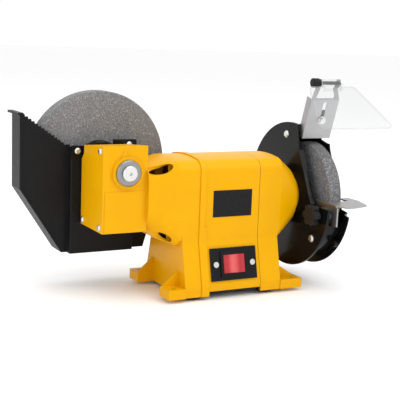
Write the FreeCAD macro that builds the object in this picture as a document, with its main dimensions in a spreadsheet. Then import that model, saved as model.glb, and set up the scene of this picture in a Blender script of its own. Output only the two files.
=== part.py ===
import FreeCAD, Part
import math
import os
import re
import Sketcher

# Combined wet and dry bench grinder.  Millimetres, +X along the motor shaft towards the
# dry wheel, +Y to the back, +Z up.  Heights are drawn from the bench.  The written parts have
# their origin midway between the bench bolt holes, level with the undersides of the foot lugs.

V = FreeCAD.Vector
doc = FreeCAD.newDocument("BenchGrinder")

DIMENSIONS = {
    # motor body
    "axis_height": 127.0, "motor_half_depth": 48.0, "motor_rise": 61.0, "motor_drop": 56.0,
    "corner_radius": 16.0, "crown": 2.5, "shell_wall": 4.0, "seam_left": -54.0, "seam_right": 37.0,
    "crease_left": -84.0, "crease_right": 72.0, "end_left": -106.0, "end_right": 102.0,
    "end_radius": 43.0, "band_width": 8.0, "band_proud": 1.6, "band_leg": 11.0,
    "shoulder_half": 42.0, "shoulder_rise": 57.0, "shoulder_drop": 47.0, "shoulder_radius": 28.0,
    "throat_half": 38.0, "throat_rise": 55.0, "throat_drop": 32.0, "throat_radius": 26.0,
    # legs, feet and skirt
    "leg_outer_left": -78.0, "leg_outer_right": 69.0, "leg_break": 77.0, "leg_spread": 62.0,
    "leg_wall": 4.0, "foot_end": 103.0, "foot_front": 64.0, "foot_deep": 28.0, "foot_under": 5.0,
    "foot_top": 18.0, "foot_hole_x": 92.0, "foot_hole_y": 54.0, "foot_hole_radius": 3.6,
    "rib_height": 21.0, "rib_wide": 5.0, "rib_y": 39.5, "skirt_under": 11.0, "skirt_wall": 3.0,
    "rubber_radius": 11.0, "rubber_y": 46.0, "base_plate": 3.0,
    # motor inside
    "stator_radius": 43.5, "stator_long": 50.0, "stator_bore": 24.4, "rotor_radius": 24.0,
    "shaft_radius": 7.5, "arbor_radius": 6.35, "bearing_outer": 17.5, "bearing_wide": 11.0,
    "bearing_left": -99.0, "bearing_right": 84.0, "seat_wall": 5.0, "shaft_play": 1.5,
    "tie_y": 35.0, "tie_up": 47.0, "tie_down": 43.0, "tie_radius": 2.5, "tie_recess": 7.0,
    # worm drive and gearbox
    "gear_module": 2.25, "gear_teeth": 22.0, "worm_pitch_radius": 18.75, "worm_long": 36.0,
    "gear_wide": 14.0, "box_left": -185.0, "box_right": -123.0, "box_front": -30.0,
    "box_back": 45.0, "box_low": -35.0, "box_high": 78.0, "box_slope": 6.0, "box_roof": 3.0,
    "step_proud": 0.6, "step_high": 54.0, "box_wall": 4.0, "cover_thick": 3.0,
    "notch_deep": 8.0, "notch_low": 61.0, "wet_x": -151.5, "wet_shaft_radius": 8.0,
    "bush_wall": 3.0, "running_fit": 0.05, "front_boss_radius": 21.0, "front_boss": 4.0,
    "ring_radius": 17.0, "ring_thick": 4.0, "cap_radius": 10.2, "cap_thick": 3.5,
    # wet wheel and tank
    "wet_radius": 97.5, "wet_wide": 20.0, "wet_front": 69.0, "wet_bore": 10.0,
    "wet_flange_radius": 31.0, "wet_flange": 6.0, "tank_left": -265.0, "tank_right": -42.0,
    "tank_front": 60.0, "tank_back": 98.0, "tank_floor": -77.0, "tank_wall": 2.5,
    "tank_rim": 70.0, "tank_peak": 111.0, "tank_step_end": -203.0, "bulge_left": -199.0,
    "bulge_right": -107.0, "hanger_thick": 3.0,
    # dry wheel and guard
    "dry_radius": 75.0, "dry_wide": 20.0, "dry_left": 134.2, "flange_radius": 25.0,
    "guard_x": 113.5, "guard_radius": 102.0, "guard_sheet": 1.5, "band_radius": 90.0,
    "cover_x": 150.0, "cover_face": 161.0, "cover_pan": 84.0,
    # eye shield and its bracket
    "bracket_x": 142.5, "bracket_y": -24.0, "bracket_z": 82.0, "bracket_lean": 17.8,
    "bracket_wide": 44.0, "bracket_extra": 2.5, "bracket_long": 59.0, "bracket_deep": 12.0,
    "bracket_sheet": 1.5,
    "hinge_y": -47.0, "hinge_z": 161.5, "shield_lean": 51.3, "shield_long": 90.0,
    "shield_top": 76.0, "shield_low": 120.0, "shield_thick": 2.5,
    # tool rest
    "rest_x": 124.0, "rest_sheet": 2.0, "rest_bolt_y": -78.0, "rest_bolt_z": -17.0,
    "rest_bolt_radius": 4.0, "rest_top": 0.0, "rest_low": -29.0, "rest_end": -54.0, "rest_gap": 4.0,
    "rest_slot_half": 4.3,
    # switch
    "switch_x": -4.0, "switch_z": 45.5, "switch_wide": 70.0, "switch_tall": 44.0,
    "rocker_wide": 30.0, "rocker_tall": 25.0,
}

dims = doc.addObject("Spreadsheet::Sheet", "Dims")
for row, (alias, number) in enumerate(DIMENSIONS.items(), start=1):
    dims.set(f"A{row}", alias)
    dims.set(f"B{row}", str(number))
    dims.setAlias(f"B{row}", alias)
doc.recompute()

# These heights are measured up from the motor shaft, so they follow it.
FROM_SHAFT = ("box_low", "box_high", "notch_low", "tank_floor", "tank_rim", "tank_peak", "bracket_z",
              "hinge_z",
              "rest_bolt_z", "rest_top", "rest_low")
NODES = {}


def cell(match):
    name = match.group(0)
    if name in FROM_SHAFT:
        return f"(Dims.axis_height + Dims.{name})"
    return f"Dims.{name}" if name in DIMENSIONS else name


def full(text):
    """Write an expression's size names as cells of the sheet."""
    return re.sub(r"[a-z][a-z_]*", cell, str(text))


def size(text):
    """The value in millimetres of an expression on the sheet."""
    return float(dims.evalExpression(full(text)))


def bind(item, **texts):
    """Bind an object's sizes to the sheet."""
    for name, text in texts.items():
        item.setExpression(name, full(text))


def put(item, at, turn=None):
    """Place an object at three bound coordinates, turned by a fixed rotation."""
    if turn:
        item.Placement = FreeCAD.Placement(V(0, 0, 0), turn)
    for letter, text in zip("xyz", at):
        item.setExpression(f"Placement.Base.{letter}", full(text))
    return item


def node(label, item):
    """Name a finished sub-part."""
    item.Label = label
    NODES[label] = item
    return item


def box(name, sizes, at, turn=None):
    item = doc.addObject("Part::Box", name)
    bind(item, Length=sizes[0], Width=sizes[1], Height=sizes[2])
    return put(item, at, turn)


AXIS_TURNS = {"x": FreeCAD.Rotation(V(0, 1, 0), 90), "y": FreeCAD.Rotation(V(1, 0, 0), -90), "z": None}


def cylinder(name, radius, length, at, axis="x"):
    item = doc.addObject("Part::Cylinder", name)
    bind(item, Radius=radius, Height=length)
    return put(item, at, AXIS_TURNS[axis])


def fuse(name, *items):
    item = doc.addObject("Part::MultiFuse", name)
    item.Shapes = list(items)
    item.Refine = True
    return item


def cut(name, base, *tools):
    item = doc.addObject("Part::Cut", name)
    item.Base = base
    item.Tool = tools[0] if len(tools) == 1 else fuse(name + "Tools", *tools)
    item.Refine = True
    return item


def common(name, first, second):
    item = doc.addObject("Part::Common", name)
    item.Base = first
    item.Tool = second
    return item


def feature(name, shape):
    item = doc.addObject("Part::Feature", name)
    item.Shape = shape
    return item


def profile(body, plane, points):
    """A closed outline of straight lines whose corners are bound to the sheet."""
    sketch = body.newObject("Sketcher::SketchObject", body.Name + "Sketch")
    planes = {item.Role: item for item in body.Origin.OriginFeatures}
    sketch.AttachmentSupport = [(planes[plane + "_Plane"], "")]
    sketch.MapMode = "FlatFace"
    corners = [V(size(u), size(w), 0) for u, w in points]
    for index, corner in enumerate(corners):
        sketch.addGeometry(Part.LineSegment(corner, corners[(index + 1) % len(corners)]))
    for index in range(len(corners)):
        sketch.addConstraint(Sketcher.Constraint("Coincident", index, 2, (index + 1) % len(corners), 1))
    for index, texts in enumerate(points):
        for kind, text in zip(("DistanceX", "DistanceY"), texts):
            number = sketch.addConstraint(Sketcher.Constraint(kind, -1, 1, index, 1, size(text)))
            sketch.setExpression(f"Constraints[{number}]", full(text))
    return sketch


def prism(name, plane, points, length, at=("0", "0", "0"), turn=None):
    """A pad of an outline, as long each way of its sketch plane."""
    body = doc.addObject("PartDesign::Body", name)
    sketch = profile(body, plane, points)
    pad = body.newObject("PartDesign::Pad", name + "Pad")
    pad.Profile = sketch
    pad.SideType = "Symmetric"
    bind(pad, Length=length)
    return put(body, at, turn)


def turned(name, axis, points, at=("0", "0", "0"), turn=None):
    """A piece turned about X, Y or Z from an outline of (along the axis, radius) corners."""
    body = doc.addObject("PartDesign::Body", name)
    plane = {"x": "XZ", "y": "YZ", "z": "XZ"}[axis]
    corners = [(r, a) for a, r in points] if axis == "z" else points
    sketch = profile(body, plane, corners)
    spin = body.newObject("PartDesign::Revolution", name + "Turn")
    spin.Profile = sketch
    spin.ReferenceAxis = (sketch, ["V_Axis" if axis == "z" else "H_Axis"])
    spin.Angle = 360
    return put(body, at, turn)


def tube(name, axis, start, end, inner, outer, at=("0", "0", "0"), turn=None):
    return turned(name, axis, [(start, inner), (end, inner), (end, outer), (start, outer)], at, turn)


MOTOR = ("0", "0", "axis_height")
WET = ("wet_x", "0", "axis_height + worm_pitch_radius + gear_module * gear_teeth / 2")
WET_Z = WET[2]

# ------------------------------------------------------------------ motor castings


def motor_section(x, half, rise, drop, radius, crown):
    """Outline across the motor: flat sides, a crowned top, rounded corners."""
    axis = size("axis_height")
    top = axis + rise - crown
    low = axis - drop
    bend = radius * math.sqrt(0.5)

    def corner(y, z, side_y, side_z, first):
        middle = V(x, y - side_y * (radius - bend), z - side_z * (radius - bend))
        ends = [V(x, y - side_y * radius, z), V(x, y, z - side_z * radius)]
        return Part.Arc(ends[first], middle, ends[1 - first]).toShape()

    def line(y1, z1, y2, z2):
        return Part.LineSegment(V(x, y1, z1), V(x, y2, z2)).toShape()

    flat = half - radius
    return Part.Wire([
        Part.Arc(V(x, -flat, top), V(x, 0, top + crown), V(x, flat, top)).toShape(),
        corner(half, top, 1, 1, 0), line(half, top - radius, half, low + radius),
        corner(half, low, 1, -1, 1), line(flat, low, -flat, low),
        corner(-half, low, -1, -1, 0), line(-half, low + radius, -half, top - radius),
        corner(-half, top, -1, 1, 1)])


def motor_skin(x, inset):
    """The motor's section at x, moved in by a wall."""
    return motor_section(x, size("motor_half_depth") - inset, size("motor_rise") - inset,
                         size("motor_drop") - inset, size("corner_radius") - inset, size("crown"))


def end_skin(x, inset):
    """The round end of a bell."""
    radius = size("end_radius") - inset
    return motor_section(x, radius, radius, radius, radius - 3, 0.4)


def shoulder_skin(x, name, inset):
    """The left bell's tall end, or the throat where it runs into the gearbox."""
    half, rise, drop, radius = (size(f"{name}_{part}") - inset for part in ("half", "rise", "drop",
        "radius"))
    return motor_section(x, half, rise, drop, radius, 0.4)


def bell_sections(side, inset, end_wall):
    """Sections of a bell from its seam to its closed end."""
    sign = -1 if side == "left" else 1
    start = [motor_skin(size(f"seam_{side}") - sign * inset / size("shell_wall"), inset),
             motor_skin(size(f"crease_{side}"), inset)]
    if side == "left":
        return start + [shoulder_skin(size("end_left"), "shoulder", inset),
                        shoulder_skin(size("box_right") - 1 + end_wall / size("shell_wall"), "throat",
                                      inset)]
    return start + [end_skin(size("end_right") - end_wall, inset)]


def leg_outline(inset, under):
    """Leg or skirt across the motor: upright at the top, spread towards the feet."""
    half, spread = f"motor_half_depth - {inset}", f"leg_spread - {inset}"
    return [(f"-({half})", "axis_height - 30"), (f"-({half})", "leg_break"), (f"-({spread})", "foot_top"),
            (f"-({spread})", under), (spread, under), (spread, "foot_top"), (half, "leg_break"),
            (half, "axis_height - 30")]


def bell_casting(side, seam, crease, end, leg_outer):
    """An end bell with its leg, two feet, bearing seat and tie bolt bosses, as one casting."""
    sign = -1 if side == "Left" else 1
    wall = size("shell_wall")
    outer = Part.makeLoft(bell_sections(side.lower(), 0, 0), True, True)
    inner = Part.makeLoft(bell_sections(side.lower(), wall, wall), True, True)
    skin = feature(f"{side}BellOuter", outer)
    hollow = feature(f"{side}BellHollow", inner)
    leg_low = min(size(leg_outer), size(seam))
    leg_high = max(size(leg_outer), size(seam))
    leg = prism(f"{side}Leg", "YZ", leg_outline("0", "foot_under"), f"abs({seam} - ({leg_outer}))",
                (f"({seam} + ({leg_outer})) / 2", "0", "0"))
    leg_hollow = prism(f"{side}LegHollow", "YZ", leg_outline("leg_wall", "foot_under - 1"),
                       f"abs({seam} - ({leg_outer})) - leg_wall + 1",
                       (f"({seam} + ({leg_outer})) / 2 - ({sign}) * (leg_wall + 1) / 2", "0", "0"))
    solids = [skin, leg]
    for name, front in (("Front", -1), ("Back", 1)):
        low_y = "-foot_front" if front < 0 else "foot_front - foot_deep"
        low_x = "-foot_end" if sign < 0 else leg_outer
        solids.append(box(f"{side}{name}Foot", (f"foot_end - abs({leg_outer})", "foot_deep",
                                                "foot_top - foot_under"), (low_x, low_y, "foot_under")))
        rib = [(f"({sign}) * foot_end", "foot_top - 1"), (leg_outer, "foot_top - 1"),
               (leg_outer, "foot_top + rib_height")]
        solids.append(prism(f"{side}{name}Rib", "XZ", rib, "rib_wide", ("0", f"({front}) * rib_y", "0")))
    shell = cut(f"{side}Shell", fuse(f"{side}Solid", *solids), hollow, leg_hollow)
    inside = [cylinder(f"{side}Seat", "bearing_outer + seat_wall", "bearing_wide + 3",
                       (f"bearing_{side.lower()} - 1.5", "0", "axis_height"))]
    for name, y, z in tie_places():
        inside.append(cylinder(f"{side}{name}Boss", "tie_recess + 1.5", "16",
                               (f"{crease} - 8", y, z)))
    spokes = [box(f"{side}Web{index}", ("bearing_wide", across, high),
                  (f"bearing_{side.lower()}", y, z))
              for index, (across, high, y, z) in enumerate((
                  ("5", "2 * motor_rise", "-2.5", "axis_height - motor_rise"),
                  ("2 * motor_half_depth", "5", "-motor_half_depth", "axis_height - 2.5")))]
    kept = common(f"{side}Inside", fuse(f"{side}Fittings", *inside, *spokes),
                  feature(f"{side}Envelope", outer))
    open_by = "0" if sign < 0 else "2"
    holes = [cylinder(f"{side}BearingBore", "bearing_outer", "bearing_wide + 2",
                      (f"bearing_{side.lower()} - {open_by}", "0", "axis_height")),
             cylinder(f"{side}ShaftHole", "shaft_radius + shaft_play", "90",
                      (f"{end} - 45", "0", "axis_height"))]
    for name, y, z in tie_places():
        holes.append(cylinder(f"{side}{name}Hole", "tie_radius + 0.2", "50", (f"{crease} - 25", y, z)))
        if sign < 0:
            holes.append(cylinder(f"{side}{name}Recess", "tie_recess", "40", (f"{crease} - 40 + 1", y, z)))
    for name, front in (("Front", -1), ("Back", 1)):
        holes.append(cylinder(f"{side}{name}BenchHole", "foot_hole_radius", "30",
                              (f"({sign}) * foot_hole_x", f"({front}) * foot_hole_y", "0"), "z"))
    return fuse(f"{side}Whole", shell, kept), holes


def tie_places():
    """Name, y and z of the four tie bolts."""
    return [("TopFront", "-tie_y", "axis_height + tie_up"), ("TopBack", "tie_y", "axis_height + tie_up"),
            ("LowFront", "-tie_y", "axis_height - tie_down"),
            ("LowBack", "tie_y", "axis_height - tie_down")]


def rubber_x(sign):
    """Where a side's rubber feet stand."""
    return ("leg_outer_left + leg_wall + rubber_radius + 1.5" if sign < 0 else
            "leg_outer_right - leg_wall - rubber_radius - 1.5")


def foot_blocks(side, sign):
    """Corner blocks inside a leg, which take the screws of the base plate and the rubber feet."""
    low_x = "leg_outer_left + leg_wall - 1" if sign < 0 else rubber_x(sign) + " - 8"
    blocks, holes = [], []
    for name, front in (("Front", -1), ("Back", 1)):
        low_y = "-(leg_spread - leg_wall + 1)" if front < 0 else "rubber_y - 8"
        blocks.append(box(f"{side}{name}Block",
                          ("rubber_radius + 10", "leg_spread - leg_wall + 9 - rubber_y", "16"),
                          (low_x, low_y, "skirt_under")))
        holes.append(cylinder(f"{side}{name}BlockHole", "2.5", "24",
                              (rubber_x(sign), f"({front}) * rubber_y", "0"), "z"))
    return blocks, holes


left_whole, left_holes = bell_casting("Left", "seam_left", "crease_left", "end_left", "leg_outer_left")
right_whole, right_holes = bell_casting("Right", "seam_right", "crease_right", "end_right",
                                        "leg_outer_right")

# The gearbox is cast on the left bell: a box open on its left side, joined by a short neck.
BOX_OUTLINE = [("box_front", "box_low"), ("box_back", "box_low"), ("box_back", "notch_low - notch_deep"),
               ("box_back - notch_deep", "notch_low"), ("box_back - notch_deep", "box_high - box_slope"),
               ("box_front", "box_high")]
BOX_HOLLOW = [("box_front + box_wall", "box_low + box_wall"), ("box_back - box_wall", "box_low + box_wall"),
              ("box_back - box_wall", "notch_low - notch_deep - box_wall / 2"),
              ("box_back - notch_deep - box_wall", "notch_low - box_wall / 2"),
              ("box_back - notch_deep - box_wall", "box_high - box_slope - box_roof"),
              ("box_front + box_wall", "box_high - box_roof")]
BOX_LONG = "box_right - box_left - cover_thick"
BOX_MIDDLE = "(box_right + box_left + cover_thick) / 2"
gearbox = prism("GearboxBlock", "YZ", BOX_OUTLINE, BOX_LONG, (BOX_MIDDLE, "0", "0"))
gearbox_hollow = prism("GearboxHollow", "YZ", BOX_HOLLOW, BOX_LONG + " - box_wall + 1",
                       (BOX_MIDDLE + " - (box_wall + 1) / 2", "0", "0"))
gear_notch = box("GearNotch", ("box_wall + 0.2", "gear_wide + 3", "25"),
                 ("box_right - box_wall - 1", "-gear_wide / 2 - 1.5", WET_Z + " - 13"))
notch_back = box("NotchBack", ("4", "gear_wide + 9", "24"),
                 ("box_right - 1", "-gear_wide / 2 - 4.5", WET_Z + " - 15"))
front_step = box("FrontStep", (BOX_LONG, "step_proud + 1", "step_high"),
                 ("box_left + cover_thick", "box_front - step_proud", "box_low"))
front_boss = tube("FrontBoss", "y", "box_front - front_boss", "-gear_wide / 2 - 5",
                  "wet_shaft_radius + bush_wall",
                  "wet_shaft_radius + bush_wall + 4", WET)
front_pad = tube("FrontPad", "y", "box_front - front_boss", "box_front + 1", "wet_shaft_radius + bush_wall",
                 "front_boss_radius", WET)
back_boss = tube("BackBoss", "y", "gear_wide / 2 + 13", "box_back", "wet_shaft_radius + bush_wall",
                 "wet_shaft_radius + bush_wall + 5", WET)
drip_rib = prism("DripRib", "XZ", [("-9", "18"), ("-5", "29"), ("-3.5", "29"), ("1", "18")],
                 "2", ("wet_x", "box_front - 0.2", WET_Z))
shaft_bore = cylinder("WetBore", "wet_shaft_radius + bush_wall",
                      "box_back - box_front + 2 * front_boss + 4",
                      ("wet_x", "box_front - 2 * front_boss", WET_Z), "y")
COVER_SCREWS = [("box_front + 9", "box_high - 7.5"), ("box_front + 9", "box_low + 6.5"),
                ("box_back - 6.5", "box_low + 6.5")]
screw_posts, screw_holes = [], []
for index, (y, z) in enumerate(COVER_SCREWS):
    screw_posts.append(cylinder(f"CoverPost{index}", "6", BOX_LONG + " - 1",
                                ("box_left + cover_thick", y, z)))
    screw_holes.append(cylinder(f"CoverScrewHole{index}", "2", "16", ("box_left + cover_thick - 1", y, z)))
left_blocks, left_block_holes = foot_blocks("Left", -1)
HANGER_BOLTS = [("wet_x - 20.5", "box_low + 54"), ("wet_x + 18.5", "box_low + 54")]
for index, (x, z) in enumerate(HANGER_BOLTS):
    screw_posts.append(cylinder(f"HangerPost{index}", "4.5", "13", (x, "box_back - 13", z), "y"))
    screw_holes.append(cylinder(f"HangerPostHole{index}", "2", "14", (x, "box_back - 12", z), "y"))
posts = common("CoverPosts", fuse("CoverPostSet", *screw_posts), gearbox)
box_casting = fuse("BoxCasting",
                   cut("GearboxShell", fuse("GearboxSolid", gearbox, front_step), gearbox_hollow),
                   posts, front_boss, front_pad, back_boss, drip_rib, notch_back)
node("left_end_casting", cut("LeftCasting", fuse("LeftRaw", left_whole, box_casting, *left_blocks),
                             *left_holes,
                             *left_block_holes, *screw_holes, shaft_bore, gear_notch))

# The right bell carries the guard on a round boss around the shaft.
guard_boss = tube("GuardBoss", "x", "end_right - 2", "guard_x", "shaft_radius + shaft_play", "30", MOTOR)
right_blocks, right_block_holes = foot_blocks("Right", 1)
guard_bolt_holes = []
for index in range(3):
    angle = math.radians(90 + 120 * index)
    guard_bolt_holes.append(cylinder(f"GuardBoltHole{index}", "2", "9", (
        "guard_x - 9", f"22 * {math.cos(angle):.4f}", f"axis_height + 22 * {math.sin(angle):.4f}")))
node("right_end_casting", cut("RightCasting", fuse("RightRaw", right_whole, guard_boss, *right_blocks),
                              *right_holes, *right_block_holes, *guard_bolt_holes))

# ------------------------------------------------------------------ centre housing
seam_left, seam_right = size("seam_left"), size("seam_right")


def sleeve(x_low, x_high, inset):
    return Part.makeLoft([motor_skin(x_low, inset), motor_skin(x_high, inset)], True, True)


barrel = feature("Barrel", sleeve(seam_left, seam_right, 0))
barrel_band = feature("BarrelBand", sleeve(seam_left, seam_left + size("band_width"), -size("band_proud")))
barrel_hollow = feature("BarrelHollow", sleeve(seam_left - 1, seam_right + 1, size("shell_wall")))
SKIRT_LONG = "seam_right - seam_left"
SKIRT_MIDDLE = "(seam_right + seam_left) / 2"
skirt = prism("Skirt", "YZ", leg_outline("0", "skirt_under"), SKIRT_LONG, (SKIRT_MIDDLE, "0", "0"))
band_leg = cut("BandLeg", prism("BandLegSolid", "YZ", leg_outline("(0 - band_proud)", "foot_under"),
                                "band_leg",
                                ("seam_left + band_leg / 2", "0", "0")),
               prism("BandLegHollow", "YZ", leg_outline("leg_wall", "foot_under - 1"), "band_leg + 2",
                     ("seam_left + band_leg / 2", "0", "0")))
skirt_hollow = prism("SkirtHollow", "YZ", [
    ("-(motor_half_depth - skirt_wall)", "axis_height - motor_drop + 1"),
    ("-(motor_half_depth - skirt_wall)", "leg_break"),
    ("-(leg_spread - skirt_wall)", "foot_top"), ("-(leg_spread - skirt_wall)", "skirt_under - 1"),
    ("leg_spread - skirt_wall", "skirt_under - 1"), ("leg_spread - skirt_wall", "foot_top"),
    ("motor_half_depth - skirt_wall", "leg_break"),
    ("motor_half_depth - skirt_wall", "axis_height - motor_drop + 1")],
    SKIRT_LONG + " + 2", (SKIRT_MIDDLE, "0", "0"))
pads = []
for index in range(4):
    turn = FreeCAD.Rotation(V(1, 0, 0), 45 + 90 * index)
    pads.append(box(f"StatorPad{index}", ("stator_long - 6", "10", "30"), (
        SKIRT_MIDDLE + " - stator_long / 2 + 3", "0", "axis_height"), turn))
pad_set = []
for index, pad in enumerate(pads):
    angle = math.radians(45 + 90 * index)
    reach = size("stator_radius") - 3
    pad.setExpression("Placement.Base.y", f"{-5 * math.cos(angle) - reach * math.sin(angle):.4f}")
    pad.setExpression("Placement.Base.z",
                      full(f"axis_height + {-5 * math.sin(angle) + reach * math.cos(angle):.4f}"))
pad_body = common("StatorPads", fuse("StatorPadSet", *pads), feature("BarrelEnvelope", sleeve(
    seam_left, seam_right, size("shell_wall") / 2)))
stator_bore = cylinder("StatorSeat", "stator_radius", SKIRT_LONG, ("seam_left", "0", "axis_height"))
tie_clear = [cylinder(f"TieClear{name}", "tie_radius + 0.5", SKIRT_LONG, ("seam_left", y, z))
             for name, y, z in tie_places()]

# The switch panel lies on the leaning front of the skirt.  Its frame has x to the right,
# z up the slope and y into the housing.
skirt_lean = math.degrees(math.atan2(size("leg_spread - motor_half_depth"), size("leg_break - foot_top")))
slope = (size("leg_break") - size("switch_z")) / size("leg_break - foot_top")
panel_y = -(size("motor_half_depth") + slope * size("leg_spread - motor_half_depth"))
PANEL = FreeCAD.Placement(V(size("switch_x"), panel_y, size("switch_z")),
                          FreeCAD.Rotation(V(1, 0, 0), -skirt_lean))
REAR_PANEL = FreeCAD.Placement(V(size("switch_x") - 22, -panel_y, size("switch_z")),
                               FreeCAD.Rotation(V(0, 0, 1),
                                                180).multiply(FreeCAD.Rotation(V(1, 0, 0), -skirt_lean)))


def on_panel(item, x, y, z, frame=PANEL, axis="z"):
    """Place a piece in the frame of the switch panel or of the rear panel."""
    turn = AXIS_TURNS[axis] or FreeCAD.Rotation()
    item.Placement = frame.multiply(FreeCAD.Placement(V(x, y, z), turn))
    return item


def panel_box(name, sizes, centre, frame=PANEL):
    """A box with its near face at y, centred in x and z."""
    item = doc.addObject("Part::Box", name)
    bind(item, Length=sizes[0], Width=sizes[1], Height=sizes[2])
    return on_panel(item, centre[0] - size(sizes[0]) / 2, centre[1], centre[2] - size(sizes[2]) / 2, frame)


def panel_rod(name, radius, length, at, frame=PANEL):
    item = doc.addObject("Part::Cylinder", name)
    bind(item, Radius=radius, Height=length)
    return on_panel(item, at[0], at[1], at[2], frame, "y")


PANEL_SCREW_X = size("switch_wide") / 2 - 7
switch_window = panel_box("SwitchWindow", ("rocker_wide + 9", "30", "rocker_tall + 7"), (0, -15, 0))
panel_holes = [panel_rod(f"PanelScrewHole{index}", "1.8", "10", (side * PANEL_SCREW_X, -1, 0))
               for index, side in enumerate((-1, 1))]
gland_hole = panel_rod("GlandHole", "8", "20", (0, -10, 0), REAR_PANEL)
node("motor_housing", cut("Housing",
                          fuse("HousingRaw", cut("HousingShell",
                                                 fuse("HousingSolid", barrel, barrel_band, band_leg,
    cut("SkirtShell", skirt, skirt_hollow)), barrel_hollow), pad_body), stator_bore, *tie_clear,
    switch_window, gland_hole,
    *panel_holes))

# ------------------------------------------------------------------ gearbox side cover
cover_plate = prism("CoverPlate", "YZ", BOX_OUTLINE, "cover_thick",
                    ("box_left + cover_thick / 2", "0", "0"))
cover_holes = [cylinder(f"CoverHole{index}", "2.2", "cover_thick + 2", ("box_left - 1", y, z))
               for index, (y, z) in enumerate(COVER_SCREWS)]
node("gearbox_cover", cut("Cover", cover_plate, *cover_holes))


def screw_x(name, x, y, z, head, head_long, shank, shank_long, sign=1):
    """A round-headed screw along X; sign 1 points its shank towards +X."""
    return turned(name, "x", [("0", "0"), (f"({-sign}) * {head_long}", "0"),
                              (f"({-sign}) * {head_long}", f"{head} * 0.7"),
                              (f"({-sign}) * {head_long} * 0.45", f"{head}"), ("0", f"{head}"),
                              ("0", f"{shank}"),
                              (f"({sign}) * {shank_long}", f"{shank}"), (f"({sign}) * {shank_long}", "0")],
                              (x, y, z))


def screw_y(name, x, y, z, head, head_long, shank, shank_long):
    """A round-headed screw along Y with its head to the front."""
    return turned(name, "y", [("0", "0"), (f"-({head_long})", "0"), (f"-({head_long})", f"{head} * 0.7"),
                              (f"-({head_long}) * 0.45", f"{head}"), ("0", f"{head}"), ("0", f"{shank}"),
                              (f"{shank_long}", f"{shank}"), (f"{shank_long}", "0")], (x, y, z))


def group(label, items):
    """Identical fasteners in one node, each a separate solid."""
    item = doc.addObject("Part::Compound", label.title().replace("_", ""))
    item.Links = items
    return node(label, item)


group("gearbox_cover_screws", [screw_x(f"CoverScrew{index}", "box_left", y, z, "4", "2.6", "1.9", "14")
                               for index, (y, z) in enumerate(COVER_SCREWS)])

# ------------------------------------------------------------------ tie bolts
group("tie_bolts", [turned(f"TieBolt{name}", "x", [
    ("crease_left - 4.2", "0"), ("crease_left - 4.2", "4.3"), ("crease_left - 0.2 + 1", "4.3"),
    ("crease_left - 0.2 + 1", "tie_radius"), ("crease_right + 2", "tie_radius"), ("crease_right + 2", "0")],
    ("0", y, z)) for name, y, z in tie_places()])

# ------------------------------------------------------------------ base plate, its screws and feet
base = box("BasePlate", ("leg_outer_right - leg_outer_left - 2 * leg_wall - 1",
                         "2 * (leg_spread - leg_wall) - 2",
                         "base_plate"), ("leg_outer_left + leg_wall + 0.5", "-(leg_spread - leg_wall) + 1",
                                         "skirt_under - base_plate"))
FOOT_PLACES = [(rubber_x(side), f"({front}) * rubber_y") for side in (-1, 1) for front in (-1, 1)]
base_holes = [cylinder(f"BaseHole{index}", "2.7", "10", (x, y, "skirt_under - base_plate - 2"), "z")
              for index, (x, y) in enumerate(FOOT_PLACES)]
node("base_plate", cut("Base", base, *base_holes))
group("rubber_feet", [turned(f"RubberFoot{index}", "z", [
    ("0", "2.6"), ("0", "rubber_radius - 1"), ("1", "rubber_radius"),
    ("skirt_under - base_plate", "rubber_radius - 1.5"),
    ("skirt_under - base_plate", "2.6")], (x, y, "0")) for index, (x, y) in enumerate(FOOT_PLACES)])
group("foot_screws", [turned(f"FootScrew{index}", "z", [
    ("3", "0"), ("3", "2.5"), ("skirt_under + 8", "2.5"), ("skirt_under + 8", "0")], (x, y, "0"))
    for index, (x, y) in enumerate(FOOT_PLACES)])

# ------------------------------------------------------------------ stator, windings, capacitor
STATOR_X = SKIRT_MIDDLE + " - stator_long / 2"
stator_ring = tube("StatorRing", "x", "0", "stator_long", "stator_bore", "stator_radius",
                   (STATOR_X, "0", "axis_height"))
slots = []
SLOT_COUNT = 12
for index in range(SLOT_COUNT):
    turn = FreeCAD.Rotation(V(1, 0, 0), 360 / SLOT_COUNT * index)
    slot = doc.addObject("Part::Box", f"StatorSlot{index}")
    bind(slot, Length="stator_long + 2", Width="6", Height="9")
    offset = turn.multVec(V(0, -3, size("stator_bore") + 2.5))
    slot.Placement = FreeCAD.Placement(V(size(STATOR_X) - 1, offset.y, size("axis_height") + offset.z),
                                       turn)
    slots.append(slot)
node("stator_core", cut("Stator", stator_ring, *slots))
coil_parts = []
for name, start, end in (("Left", "-14", "-0.3"), ("Right", "stator_long + 0.3", "stator_long + 14")):
    coil_parts.append(tube(f"Winding{name}", "x", start, end, "stator_bore + 1.5", "stator_radius - 4.5",
                           (STATOR_X, "0", "axis_height")))
group("stator_windings", coil_parts)
CAPACITOR = (SKIRT_MIDDLE, "18", "42")
node("capacitor", turned("Capacitor", "x",
                         [("-30", "0"), ("-30", "14"), ("-28", "16"), ("26", "16"), ("26", "13"),
                                             ("28", "13"), ("28", "0")], CAPACITOR))
clip_ring = tube("ClipRing", "x", "-5", "5", "16", "17.5", CAPACITOR)
clip_foot = box("ClipFoot", ("10", "14", "42 - skirt_under - 16.8"),
                (SKIRT_MIDDLE + " - 5", "11", "skirt_under"))
node("capacitor_clip", cut("Clip", fuse("ClipRaw", clip_ring, clip_foot), cylinder(
    "ClipBore", "16", "12", (SKIRT_MIDDLE + " - 6", "18", "42"))))

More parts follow.
